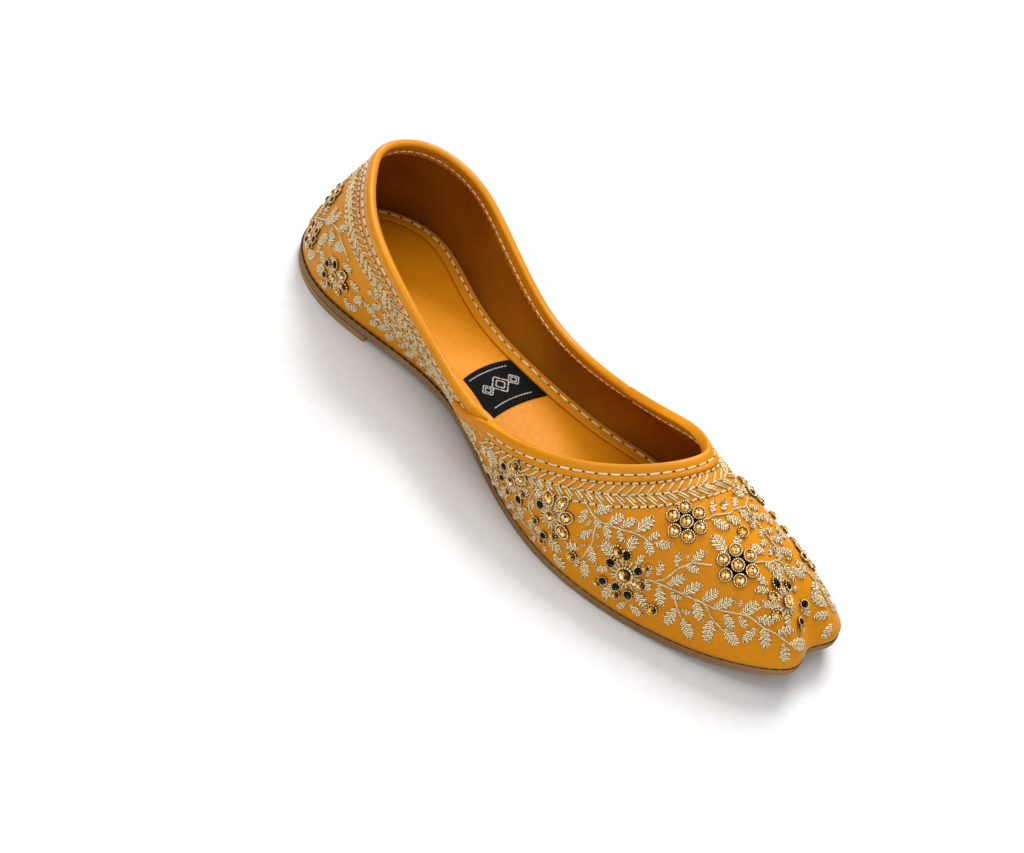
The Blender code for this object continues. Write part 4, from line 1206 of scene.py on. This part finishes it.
# Stems as places (around, up) along them.
STEMS = [
    [(6.66, .707), (6.71, .662), (6.79, .608), (6.90, .579), (7.04, .570), (7.17, .563), (7.32, .560),
     (7.44, .541), (7.53, .509)],
    [(6.806, .595), (6.814, .525), (6.79, .467), (6.77, .39), (6.716, .326), (6.66, .256), (6.63, .224)],
    [(7.41, .285), (7.52, .288), (7.65, .282), (7.80, .272), (7.94, .259), (8.10, .24), (8.206, .2345),
     (8.343, .2315), (8.48, .2257), (8.549, .208), (8.64, .176), (8.777, .1466), (8.89, .1026),
     (8.97, .088)],
    [(7.52, .298), (7.616, .32), (7.70, .358), (7.796, .403), (7.916, .435), (8.01, .451), (8.228, .449)],
    [(8.49, .229), (8.64, .258), (8.73, .2755)],
    [(7.71, .25), (7.718, .205), (7.748, .141)],
    [(8.0, .256), (8.036, .224), (8.06, .186), (8.108, .16), (8.156, .134)],
    [(8.85, .46), (9.0, .455), (9.3, .43), (9.6, .42), (10.0, .40), (10.45, .37)],
    [(8.354, .674), (8.48, .68), (8.59, .692), (8.79, .692), (9.03, .689), (9.26, .695), (10.0, .677),
     (10.28, .686), (10.48, .695), (10.72, .709)],
    [(10.28, .686), (10.2, .665), (10.1, .63), (10.18, .57), (10.32, .50), (10.42, .44)],
    [(11.05, .30), (11.15, .22), (11.18, .15), (11.2, .09)],
    [(1.05, .22), (1.18, .30), (1.35, .40), (1.52, .50), (1.74, .56), (2.0, .56), (2.2, .53)],
]
# Leaves from base to tip, (around, up) each, with a width share where it isn't the usual one.
LEAVES = [
    (6.78, .637, 7.01, .694), (6.97, .579, 7.195, .669), (7.13, .576, 7.35, .656),
    (7.32, .57, 7.60, .675), (7.48, .538, 7.66, .586), (7.55, .522, 7.77, .525),
    (6.70, .653, 6.61, .509), (6.80, .60, 6.88, .525), (6.94, .576, 6.99, .464),
    (7.11, .56, 7.15, .477), (7.45, .534, 7.52, .442),
    (6.76, .58, 6.71, .505), (6.776, .493, 6.61, .384, .7), (6.70, .358, 6.61, .314, .4),
    (6.60, .285, 6.42, .26, .8), (6.74, .36, 6.78, .23), (6.83, .48, 6.86, .44), (6.83, .36, 6.86, .40),
    (6.65, .22, 6.67, .08), (6.60, .224, 6.53, .102, .4),
    (7.016, .339, 6.908, .435, .8), (7.21, .416, 7.33, .538, .8), (7.30, .352, 7.42, .435),
    (7.41, .294, 7.50, .371, .4), (6.98, .25, 6.81, .20), (7.40, .288, 7.44, .218),
    (7.27, .18, 7.38, .11), (7.0, .154, 6.89, .016), (7.17, .083, 7.05, .006), (7.20, .077, 7.32, .038),
    (7.80, .275, 8.02, .352), (7.98, .262, 8.23, .333), (8.11, .243, 8.38, .296),
    (8.40, .258, 8.47, .296), (8.40, .232, 8.68, .29), (8.58, .22, 8.80, .20), (8.78, .158, 9.05, .155),
    (8.91, .10, 9.47, .046), (8.73, .276, 8.95, .27),
    (7.555, .28, 7.55, .16), (7.70, .272, 7.69, .224), (7.92, .256, 7.934, .154),
    (8.22, .225, 8.27, .152), (8.38, .222, 8.43, .168), (8.62, .18, 8.60, .085),
    (8.545, .175, 8.345, .103), (8.83, .105, 8.79, .02),
    (7.71, .256, 7.79, .24), (7.76, .18, 7.86, .178), (7.71, .186, 7.58, .06), (7.755, .135, 7.82, .045),
    (8.05, .18, 7.95, .055), (8.17, .146, 8.28, .075),
    (7.545, .326, 7.63, .416), (7.78, .41, 7.84, .49), (7.91, .455, 7.95, .49), (7.96, .45, 8.19, .52),
    (7.64, .295, 7.87, .372), (7.89, .432, 8.04, .408),
    (8.50, .505, 8.42, .598, .7), (8.67, .52, 8.85, .586, .7),
    (9.30, .47, 8.96, .53), (9.05, .45, 9.3, .40), (9.44, .45, 9.9, .468), (9.5, .42, 9.78, .35),
    (10.1, .40, 10.25, .46), (10.2, .385, 10.36, .30, .5), (10.5, .36, 10.84, .29, .5),
    (8.58, .70, 8.75, .76), (8.82, .706, 9.15, .75), (9.35, .70, 9.9, .735), (10.5, .715, 10.14, .765),
    (10.5, .72, 10.75, .78), (10.75, .70, 11.03, .69), (10.85, .72, 11.1, .76),
    (8.51, .675, 8.75, .622), (8.82, .68, 9.12, .628), (9.4, .685, 9.85, .63),
    (10.15, .635, 10.7, .60), (10.4, .675, 10.85, .64), (10.05, .60, 9.45, .585), (10.1, .56, 9.6, .53),
    (10.3, .55, 10.75, .53), (10.35, .51, 10.75, .48), (10.4, .46, 10.7, .42), (10.3, .47, 9.95, .45),
    (11.08, .135, 10.72, .22, .5), (11.04, .105, 10.5, .125, .5), (11.17, .20, 11.4, .15),
    (11.2, .12, 11.5, .06), (11.0, .065, 10.52, .018), (11.03, .19, 10.96, .26), (11.1, .27, 11.3, .24, .5),
    (9.43, .66, 9.6, .61), (9.99, .50, 9.33, .51), (9.12, .41, 9.5, .33), (10.5, .40, 10.72, .385, .5),
    (10.17, .435, 10.4, .405), (10.68, .445, 10.86, .40), (10.87, .375, 10.95, .31),
    (10.86, .62, 10.97, .55), (11.02, .54, 11.01, .475), (10.75, .515, 10.81, .465),
    (9.04, .222, 8.95, .165), (8.92, .268, 8.73, .285),
    (9.75, .272, 10.33, .262), (10.02, .21, 10.36, .13, .5), (8.9, .33, 8.72, .35), (8.91, .355, 8.82, .405),
    (6.0, .51, 6.04, .62, .8), (5.93, .38, 5.98, .46), (6.16, .19, 6.34, .16, .8), (6.22, .09, 6.38, .02),
    (6.1, .10, 6.08, .02),
    (2.15, .46, 2.31, .465), (1.92, .42, 1.96, .56), (1.61, .26, 1.67, .42), (1.94, .22, 1.76, .28),
    (1.38, .40, 1.50, .54), (2.34, .385, 2.49, .36), (2.48, .18, 2.56, .32), (2.68, .21, 2.74, .33),
    (2.04, .11, 1.86, .13), (2.15, .03, 2.02, .045), (1.9, .485, 2.05, .53), (1.82, .38, 1.75, .51),
    (2.47, .275, 2.59, .225), (2.6, .29, 2.73, .29), (2.36, .14, 2.47, .05), (2.84, .22, 2.97, .19),
    (1.73, .2, 1.66, .30), (2.08, .33, 1.97, .38),
    (2.72, .06, 2.80, .19), (2.46, .05, 2.54, .15), (1.88, .08, 1.96, .21),
    (1.10, .26, 1.02, .36), (1.22, .36, 1.12, .46), (1.30, .30, 1.42, .36), (1.44, .46, 1.34, .58),
    (1.55, .52, 1.50, .64), (1.62, .50, 1.76, .44), (1.74, .56, 1.82, .68), (1.60, .05, 1.70, .17),
]


# Vines for the parts of the pattern between the flowers: places along the stem, then the leaves'
# length and how far apart they grow, in millimetres.
Vine = namedtuple("Vine", "places leaf pitch")
VINES = [
    Vine([(6.12, 0.15), (5.95, 0.12), (5.75, 0.13), (5.5, 0.16), (5.25, 0.22), (5.08, 0.30)], 6.0, 4.8),
    Vine([(5.98, 0.30), (5.90, 0.38), (5.92, 0.50), (5.97, 0.60)], 4.4, 4.0),
    Vine([(5.36, 0.28), (5.30, 0.38), (5.28, 0.48), (5.32, 0.56)], 4.8, 4.0),
    Vine([(4.95, 0.24), (4.6, 0.17), (4.2, 0.15), (3.8, 0.17), (3.4, 0.20), (3.0, 0.22), (2.8, 0.24)],
         6.4, 5.0),
    Vine([(4.9, 0.38), (4.6, 0.36), (4.3, 0.35), (4.0, 0.36), (3.7, 0.38)], 4.6, 4.2),
    Vine([(3.5, 0.32), (3.25, 0.42), (2.95, 0.47), (2.66, 0.48)], 5.6, 4.6),
    Vine([(0.0, 0.06), (0.0, 0.22), (0.0, 0.40), (0.0, 0.56)], 6.2, 5.0),
    Vine([(0.05, 0.24), (0.34, 0.20), (0.62, 0.14), (0.90, 0.12)], 5.6, 4.8),
    Vine([(0.05, 0.46), (0.24, 0.54), (0.40, 0.58)], 5.0, 4.4),
]
FLOWER_ROOM, STEM_ROOM = 6.3, 5.0       # leaves and stems stay this far from a flower's middle
# What the inner side repeats of the outer one, by section number.
MIRRORED_FROM, MIRRORED_TO = 5.9, 8.45
HEEL_LEAVES_TO = 3.0
MIRRORED_STEMS = STEMS[:7]
VINE_LEAN = math.radians(52)            # between a vine and its leaves
LEAF_STALK = 0.7
VINE_TOP = 0.93         # no leaf of a vine reaches higher up the wall


def has_room(around, up, room):
    """True where a place keeps clear of every flower."""
    middles = smooth_skin(*np.array(FLOWER_PLACES).T)
    return np.linalg.norm(middles - smooth_skin(around, up), axis=1).min() > room


def add_vine(stems, leaves, vine, mirrored=False):
    """A stem with leaves to both sides by turns and one at its tip."""
    places = [(TURN - a, u) for a, u in vine.places] if mirrored else vine.places
    line = add_stem(stems, places, VINE_WIDTH)
    spots = np.arange(1.0, line.length, vine.pitch / 2)
    around, up = line.at(spots)
    heading = line.heading(spots)
    for i in range(len(spots)):
        lean = VINE_LEAN * (1 if i % 2 else -1)
        if i == len(spots) - 1:
            lean = 0.0
        angle = heading[i] + lean
        long = vine.leaf * (0.9 + 0.2 * math.sin(5.0 * i))
        root, tip = [np.ravel(shifted(around[i], up[i], *turned(far, 0.0, angle)))
                     for far in (LEAF_STALK, long)]
        if has_room(*(root + tip) / 2, FLOWER_ROOM) and 0.0 < tip[1] < VINE_TOP:
            leaves.add(*root, *tip)


def make_sprays():
    stems = Strands(STRAND)
    outer, inner = Leaves(), Leaves()
    for points in STEMS:
        add_stem(stems, points)
    for row in LEAVES:
        outer.add(*row)
    for row in LEAVES:
        middle = TURN - (row[0] + row[2]) / 2
        if TURN - MIRRORED_TO < middle < TURN - MIRRORED_FROM or middle > TURN - HEEL_LEAVES_TO:
            if has_room(middle, (row[1] + row[3]) / 2, FLOWER_ROOM):
                inner.add(TURN - row[0], row[1], TURN - row[2], *row[3:])
    for points in MIRRORED_STEMS:
        mirrored = [(TURN - a, u) for a, u in points
                    if a < MIRRORED_TO and has_room(TURN - a, u, STEM_ROOM)]
        if len(mirrored) > 3:
            add_stem(stems, mirrored)
    for vine in VINES:
        add_vine(stems, outer, vine)
        if vine.places[0][0] > 0.01:
            add_vine(stems, inner, vine, True)
    stems.build("embroidered_stems", GOLD_THREAD, 31)
    outer.build("embroidered_leaves_outer")
    inner.build("embroidered_leaves_inner")


# ---- stitches on the flat pieces
def stitch_places(line, pitch, shift=0.0):
    """Across, along and angle of stitches on a closed plan line, shifted by a share of the pitch."""
    line = np.vstack([line, line[:1]])
    run = run_along(line)
    count = int(round(run[-1] / pitch))
    spots = (np.arange(count) + 0.5 + shift) * run[-1] / count
    place = lambda d: np.column_stack([np.interp(d, run, line[:, 0]), np.interp(d, run, line[:, 1])])
    here, step = place(spots), place(spots + 0.5) - place(spots - 0.5)
    return here[:, 0], here[:, 1], np.arctan2(step[:, 1], step[:, 0])


SOLE_PITCH, INSOLE_PITCH = 3.4, 4.9
SEAM_OUTSET, INSOLE_STITCH_INSET = 0.32, 2.75
SEAM_STITCH, INSOLE_STITCH, INSOLE_HOLE_SHADOW = (3.15, 0.62, 0.42), (3.7, 0.75, 0.55), (1.1, 0.5, 0.16)


def make_sole_seam():
    """Stitching in the groove between the upper and the sole's edge, near black: the thread's own dark colour
    with painted shade of the groove.
    """
    foot, out = foot_frame(even_sections(2001)[:-1])
    threads = FlatStrands(STITCH)
    threads.add(*stitch_places(foot + out * SEAM_OUTSET, SOLE_PITCH), *SEAM_STITCH, -0.06)
    threads.build("sole_seam_stitches", SEAM_THREAD_AND_SHADE, 54)


def make_insole_stitches():
    line = insole_line(3000, INSOLE_STITCH_INSET)
    threads, hole_shadows = FlatStrands(STITCH), FlatStrands(STRAND)
    threads.add(*stitch_places(line, INSOLE_PITCH), *INSOLE_STITCH, BORDER_TOP - 0.05)
    threads.build("insole_stitches", CREAM_THREAD, 51)
    # Dark marks between the stitches: painted shade in the needle holes.
    hole_shadows.add(*stitch_places(line, INSOLE_PITCH, 0.5), *INSOLE_HOLE_SHADOW, BORDER_TOP - 0.02)
    hole_shadows.build("insole_needle_hole_shadows", HOLE_SHADOW_LOOK, 52)


ORNAMENT_WIDTH = 17.0
RULE_INSET, RULE_PITCH, RULE_STITCH = 2.6, 1.3, (1.25, 0.55, 0.28)
DIAMONDS = ((-6.2, 2.6), (0.0, 4.0), (6.2, 2.6))        # place across and half a diagonal


def make_label_ornament():
    """Plain woven ornament: a rule along each long edge and a row of diamonds between."""
    threads = FlatStrands(STRAND)
    top = PANEL_TOP + GAP + LABEL_THICKNESS - 0.05
    middle = label_middle()
    for along in (LABEL_START + RULE_INSET, LABEL_START + LABEL_LENGTH - RULE_INSET):
        for across in np.arange(-ORNAMENT_WIDTH / 2, ORNAMENT_WIDTH / 2, RULE_PITCH):
            bow = LABEL_BOW * (1 - (2 * across / ORNAMENT_WIDTH) ** 2 * 0.5)
            threads.add(middle + across + RULE_PITCH / 2, along - bow, 0.0, *RULE_STITCH, top)
    for across, size in DIAMONDS:
        ahead = LABEL_START + LABEL_LENGTH / 2 - LABEL_BOW + (0.3 if across else 0.0)
        centre = np.array([middle + across, ahead])
        for share in (1.0, 0.55):
            corners = [centre + size * share * np.array(v) for v in ((1, 0), (0, 1), (-1, 0), (0, -1))]
            for start, end in zip(corners, corners[1:] + corners[:1]):
                for half in (0.0, 0.5):
                    near, far = start + (end - start) * half, start + (end - start) * (half + 0.5)
                    threads.segment(near, far, 0.6, 0.3, top)
    threads.build("label_ornament", SILVER_THREAD, 53)


# ---- stones and their settings
PLAIN_FOIL = 0.42       # tone of a stone's foil
# Painted highlights and painted shade on a stone's facets, where its foil would gleam or lie dark: direction
# in degrees, spread and strength.
PAINTED_FOIL_LIGHT = {
    "crystal": [(-22, 0.60, 0.75), (165, 0.42, 0.42), (96, 0.45, -0.60), (-105, 0.40, -0.25)],
    "smoky": [(-160, 0.70, 0.60), (25, 0.95, -0.80)],
    "amber": [(-150, 0.80, 0.50), (35, 0.75, -0.75)],
    "jet": [(-22, 0.45, 0.60)],
}


def brilliant_shape(sides=10):
    """Cut stone, one unit across: facets with corners of their own, and each one's middle."""
    girdle = ring_points(0.50, 0.0, sides)
    crown = ring_points(0.42, 0.36, sides, 0.5)
    table = ring_points(0.26, 0.52, sides)
    top = np.array([0.0, 0.0, 0.55])
    pairs = [(i, (i + 1) % sides) for i in range(sides)]
    facets = []
    for i, j in pairs:
        facets += [(girdle[i], girdle[j], crown[i]), (girdle[j], crown[j], crown[i])]
    for i, j in pairs:
        facets += [(crown[i], table[j], table[i]), (crown[i], crown[j], table[j])]
    facets += [(table[i], table[j], top) for i, j in pairs]
    facets = np.array(facets)
    return facets.reshape(-1, 3), facets.mean(axis=1)


def painted_facet_light(middles, kind, turn, chance):
    """Tone of each facet: painted highlights where its foil gleams, parted by painted dark wedges, and gold
    round them.
    """
    angle = np.arctan2(middles[:, 1], middles[:, 0]) + turn
    far = np.hypot(middles[:, 0], middles[:, 1])
    inner = np.full(len(middles), PLAIN_FOIL)
    for degrees, spread, strength in PAINTED_FOIL_LIGHT[kind]:
        away = np.mod(angle - math.radians(degrees) + math.pi, ROUND) - math.pi
        inner += strength * np.exp(-(away / spread) ** 2)
    # Painted shade: the gold round the foil is darker to one side of the stone.
    rim = 0.34 - 0.14 * np.cos(angle - math.radians(70))
    if kind != "crystal":
        rim = rim + 0.8 * (inner - PLAIN_FOIL)
    tone = np.where(far < 0.34, inner, rim) + chance.normal(0, 0.12, len(middles))
    return np.repeat(np.clip(tone, 0, 1), 3)


def setting_shape(beads, bead_size, flange):
    """Dark metal cup one unit across, and a ring of bright beads round the stone."""
    cup = lathe_points([(flange, 0.0), (flange, 0.05), (0.47, 0.12), (0.43, 0.16), (0.36, 0.14),
                        (0.30, 0.10)], 20)
    ball, ball_faces = lathe_points([(0.001, -1.0), (0.8, -0.5), (1.0, 0.1), (0.65, 0.75),
                                     (0.001, 1.0)], 7)
    centres = ring_points(BEAD_RING, BEAD_HEIGHT, beads)
    points, faces = joined([cup] + [(ball * bead_size + centre, ball_faces) for centre in centres])
    slots = np.repeat([1, 0], [len(cup[1]), beads * len(ball_faces)])
    return points, faces, slots


GEM_SIZE = 1.30         # small stones with their settings, against the stones alone
CRYSTAL_SIZE, PETAL_OUT, PLATE_SIZE = 4.25, 4.65, 8.6   # of the two flowers of seven crystals
BEAD_RING, BEAD_HEIGHT = 0.46, 0.22     # where the beads of a setting sit, against its width
STONE_SHARE = 0.76      # a stone's width, against its setting's
SINGLE_TURN = 0.4       # how far a stone that belongs to no centre is turned
BRILLIANT = brilliant_shape()
BEADED = setting_shape(18, 0.082, 0.545)
CLAWED = setting_shape(12, 0.092, 0.52)


def stone_look(name, stops, rough=0.06, coat=0.25):
    """Cut glass on foil: each facet carries its own painted reflection, from painted shade to painted
    highlight.
    """
    look = Look(name, {"Metallic": 0.1, "Specular IOR Level": 0.15, "Coat Weight": coat,
                       "Coat Roughness": 0.03})
    depth = look.noise(0.7, 2.0, 0.5)
    uneven = look.math("MULTIPLY", look.math("SUBTRACT", depth, 0.5), 0.4)
    tone = look.math("ADD", look.shade(), uneven, True)
    return look.finish(look.ramp(tone, *stops), look.ramp(depth, (0.3, rough), (0.7, rough + 0.08)))


# The white stops are painted highlights and the near-black ones painted shade; black glass's brown top stop
# is a painted reflection.
CRYSTAL = stone_look("champagne_crystal", [
    (0.0, (0.02, 0.006, 0.001)), (0.14, (0.16, 0.055, 0.004)), (0.32, (0.66, 0.27, 0.010)),
    (0.52, (0.95, 0.50, 0.045)), (0.68, (1.0, 0.76, 0.27)), (0.80, (1.0, 1.0, 0.96)), (1.0, (1.0, 1.0, 1.0))])
AMBER = stone_look("amber_glass", [
    (0.0, (0.03, 0.008, 0.001)), (0.3, (0.42, 0.16, 0.003)), (0.6, (0.88, 0.43, 0.010)),
    (0.82, (1.0, 0.66, 0.08)), (1.0, (1.0, 0.95, 0.66))])
JET = stone_look("black_glass", [
    (0.0, (0.001, 0.001, 0.001)), (0.8, (0.006, 0.004, 0.003)), (1.0, (0.20, 0.11, 0.04))], 0.16, 0.0)
STONE_LOOKS = {"crystal": CRYSTAL, "smoky": CRYSTAL, "amber": AMBER, "jet": JET}


def antique_gold(name, stops, rough):
    """Cast metal, tarnished in patches."""
    look = Look(name, {"Metallic": 1.0})
    tarnish = look.noise(1.2, 4.0, 0.6)
    return look.finish(look.ramp(tarnish, *stops), look.ramp(tarnish, (0.3, rough + 0.2), (0.7, rough)),
                       look.bump(tarnish, 0.06, 0.5))


ANTIQUE_GOLD = antique_gold("antique_gold", [(0.25, (0.40, 0.22, 0.07)), (0.38, (0.90, 0.64, 0.30)),
                                             (0.65, (1.0, 0.86, 0.55))], 0.24)
DARK_CUP = antique_gold("tarnished_cups", [(0.3, (0.02, 0.008, 0.001)), (0.5, (0.12, 0.055, 0.012)),
                                           (0.72, (0.50, 0.28, 0.08))], 0.40)
# The plate under the crystal flowers: painted shade between their stones.
CUP_SHADE = antique_gold("painted_shade_ground", [(0.3, (0.004, 0.002, 0.001)),
                                              (0.7, (0.03, 0.013, 0.004))], 0.6)


def spot_beside(around, up, away, angle):
    """A place some millimetres from another, put right once for the way the wall bends."""
    x, y = turned(away, 0.0, angle)
    spot = shifted(around, up, x, y)
    got_x, got_y = offset_between(around, up, *spot)
    spot = shifted(*spot, x - got_x, y - got_y)
    return spot[0][0], spot[1][0]


class Stonework:
    """All sewn-on stones, their metal settings and the thread rays between them."""

    def __init__(self):
        self.stones = {kind: [] for kind in STONE_LOOKS}
        self.settings = []
        self.rays = Strands(STRAND)
        self.chance = np.random.default_rng(77)

    def gem(self, gem, centre=None, beaded=False):
        """One stone in its setting, its long axis pointing away from a flower's centre."""
        angle = SINGLE_TURN
        if not beaded:
            gem = gem._replace(wide=GEM_SIZE * gem.wide, long=GEM_SIZE * gem.long)
        if centre is not None:
            x, y = offset_between(*centre, gem.around, gem.up)
            angle = math.atan2(y[0], x[0])
        shape, middles = BRILLIANT
        height = 0.32 * gem.wide + 0.7
        inner = gem._replace(wide=STONE_SHARE * gem.wide, long=STONE_SHARE * gem.long)
        self.stones[gem.kind].append((planted(shape, inner, angle, 0.55, height),
                                      painted_facet_light(middles, gem.kind, angle, self.chance)))
        metal, faces, slots = BEADED if beaded or gem.kind == "crystal" else CLAWED
        self.settings.append((planted(metal, gem, angle, 0.05, 0.35 * gem.wide + 2.2), faces, slots))

    def crystal_flower(self, around, up):
        """Seven crystals on a dark plate, painted shade between them."""
        self.gem(Gem("crystal", around, up, CRYSTAL_SIZE, CRYSTAL_SIZE), None, True)
        plate, faces = lathe_points([(0.5, 0.0), (0.47, 0.5), (0.001, 0.8)], 18)
        ground = planted(plate, Gem("plate", around, up, PLATE_SIZE, PLATE_SIZE), 0.0, 0.0, 0.9)
        self.settings.append((ground, faces, np.full(len(faces), 2)))
        for degrees in range(97, 97 + 360, 60):
            spot = spot_beside(around, up, PETAL_OUT, math.radians(degrees))
            self.gem(Gem("crystal", *spot, CRYSTAL_SIZE, CRYSTAL_SIZE), None, True)

    def ray_ring(self, around, up, near, far, count):
        """Satin rays of thread round a stone."""
        angles = ROUND * np.arange(count) / count
        angles += self.chance.normal(0, 0.04, count)
        ends = far * (0.82 + 0.3 * self.chance.random(count))
        spots = shifted(around, up, *turned((near + ends) / 2, 0.0, angles))
        self.rays.add(*spots, angles, ends - near, 0.7, 0.7, 0.1)

    def build(self, flowers):
        for kind, parts in self.stones.items():
            points = np.vstack([p for p, _ in parts])
            shade = np.concatenate([s for _, s in parts])
            piece(kind + "_stones", points, np.arange(len(points)).reshape(-1, 3), STONE_LOOKS[kind],
                  smooth=False, shade=shade)
        points, faces = joined([row[:2] for row in self.settings])
        slots = np.concatenate([row[2] for row in self.settings])
        piece("gold_settings", points, faces, [ANTIQUE_GOLD, DARK_CUP, CUP_SHADE], slots, replaces=flowers)
        self.rays.build("flower_rays", GOLD_THREAD, 41)


def make_stones():
    work = Stonework()
    for around, up in CRYSTAL_FLOWERS:
        work.crystal_flower(around, up)
    for flower in MIXED_FLOWERS:
        middle = flower[0]
        work.gem(middle, None, True)
        for gem in flower[1:]:
            work.gem(gem, (middle.around, middle.up))
        near = 0.45 * middle.wide
        work.ray_ring(middle.around, middle.up, near, near + 2.6, 18)
    for around, up, radius in FAR_FLOWERS:
        work.gem(Gem("crystal", around, up, FAR_MIDDLE, FAR_MIDDLE), None, True)
        work.ray_ring(around, up, 1.8, radius - 0.4, 16)
        for k, kind in enumerate(RING_KINDS):
            angle = ROUND * k / len(RING_KINDS) + 0.3
            spot = spot_beside(around, up, radius * (1.0 if k % 2 else 0.86), angle)
            work.gem(Gem(kind, *spot, *FAR_GEM), (around, up))
    for gem in SINGLE_STONES:
        work.gem(gem)
    work.build([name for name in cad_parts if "flower" in name])


# ---- floor, light and camera
FLOOR_HALF = 3.0        # metres


def make_floor():
    mesh = bpy.data.meshes.new("studio_floor")
    corners = [(x * FLOOR_HALF, y * FLOOR_HALF, 0) for x, y in ((-1, -1), (1, -1), (1, 1), (-1, 1))]
    mesh.from_pydata(corners, [], [(0, 1, 2, 3)])
    look = Look("pale_paper", {})
    paper = look.noise(4, 4.0)
    pale = look.ramp(paper, (0.3, (0.77, 0.77, 0.77)), (0.7, (0.81, 0.81, 0.81)))
    mesh.materials.append(look.finish(pale, 0.9, look.bump(paper, 0.02, 0.2)))
    obj = bpy.data.objects.new("studio_floor", mesh)
    bpy.context.scene.collection.objects.link(obj)


# Soft lights: place, height of the point they face, width and length, all in metres, and watts.
LIGHTS = {
    "key_soft": ((0.80, 0.50, 1.15), 0.02, (0.66, 0.66), 21.0),
    "fill_soft": ((-0.9, -0.5, 0.9), 0.02, (1.2, 1.0), 6.2),
    "top_soft": ((-0.1, 0.2, 1.6), 0.0, (1.2, 1.2), 10.0),
}
WORLD_STRENGTH = 0.26


def make_lights():
    for name, (place, aim, size, power) in LIGHTS.items():
        data = bpy.data.lights.new(name, "AREA")
        data.shape = "RECTANGLE"
        data.size, data.size_y = size
        data.energy = power
        obj = bpy.data.objects.new(name, data)
        obj.location = place
        turn = (Vector((0, 0, aim)) - Vector(place)).to_track_quat("-Z", "Y")
        obj.rotation_euler = turn.to_euler()
        bpy.context.scene.collection.objects.link(obj)
    world = bpy.data.worlds.new("studio")
    world.use_nodes = True
    background = world.node_tree.nodes["Background"]
    background.inputs["Color"].default_value = (1.0, 1.0, 1.0, 1.0)
    background.inputs["Strength"].default_value = WORLD_STRENGTH
    bpy.context.scene.world = world
    bpy.context.scene.view_settings.view_transform = "Standard"


CAMERA_RIGHT = Vector((0.72056, -0.64707, 0.24919))
CAMERA_BACK = Vector((-0.61112, -0.42283, 0.66914))
CAMERA_PLACE = (334.39, 345.54, 357.03)     # on the last
LENS = 52.96


def make_camera():
    data = bpy.data.cameras.new("camera")
    data.lens = LENS
    data.sensor_width = 36.0
    data.clip_start, data.clip_end = 0.01, 20.0
    obj = bpy.data.objects.new("camera", data)
    right = CAMERA_RIGHT.normalized()
    back = CAMERA_BACK.normalized()
    up = back.cross(right).normalized()
    turn = Matrix((right, up, right.cross(up))).transposed().to_4x4()
    obj.matrix_world = Matrix.Translation(Vector(to_row(CAMERA_PLACE))) @ turn
    bpy.context.scene.collection.objects.link(obj)
    bpy.context.scene.camera = obj


make_upper()
make_binding("vamp_binding_roll", SEAM_OUTER - CROSSING, SEAM_INNER + INNER_CROSSING, "vamp_binding")
make_binding("quarter_binding_roll", SEAM_INNER - INNER_CROSSING, TURN + SEAM_OUTER + TAIL,
             "quarter_binding", True)
make_sole()
make_insole()
make_border()
make_label()
make_binding_stitches()
make_band()
make_sprays()
make_sole_seam()
make_insole_stitches()
make_label_ornament()
make_stones()
make_floor()
make_camera()
make_lights()
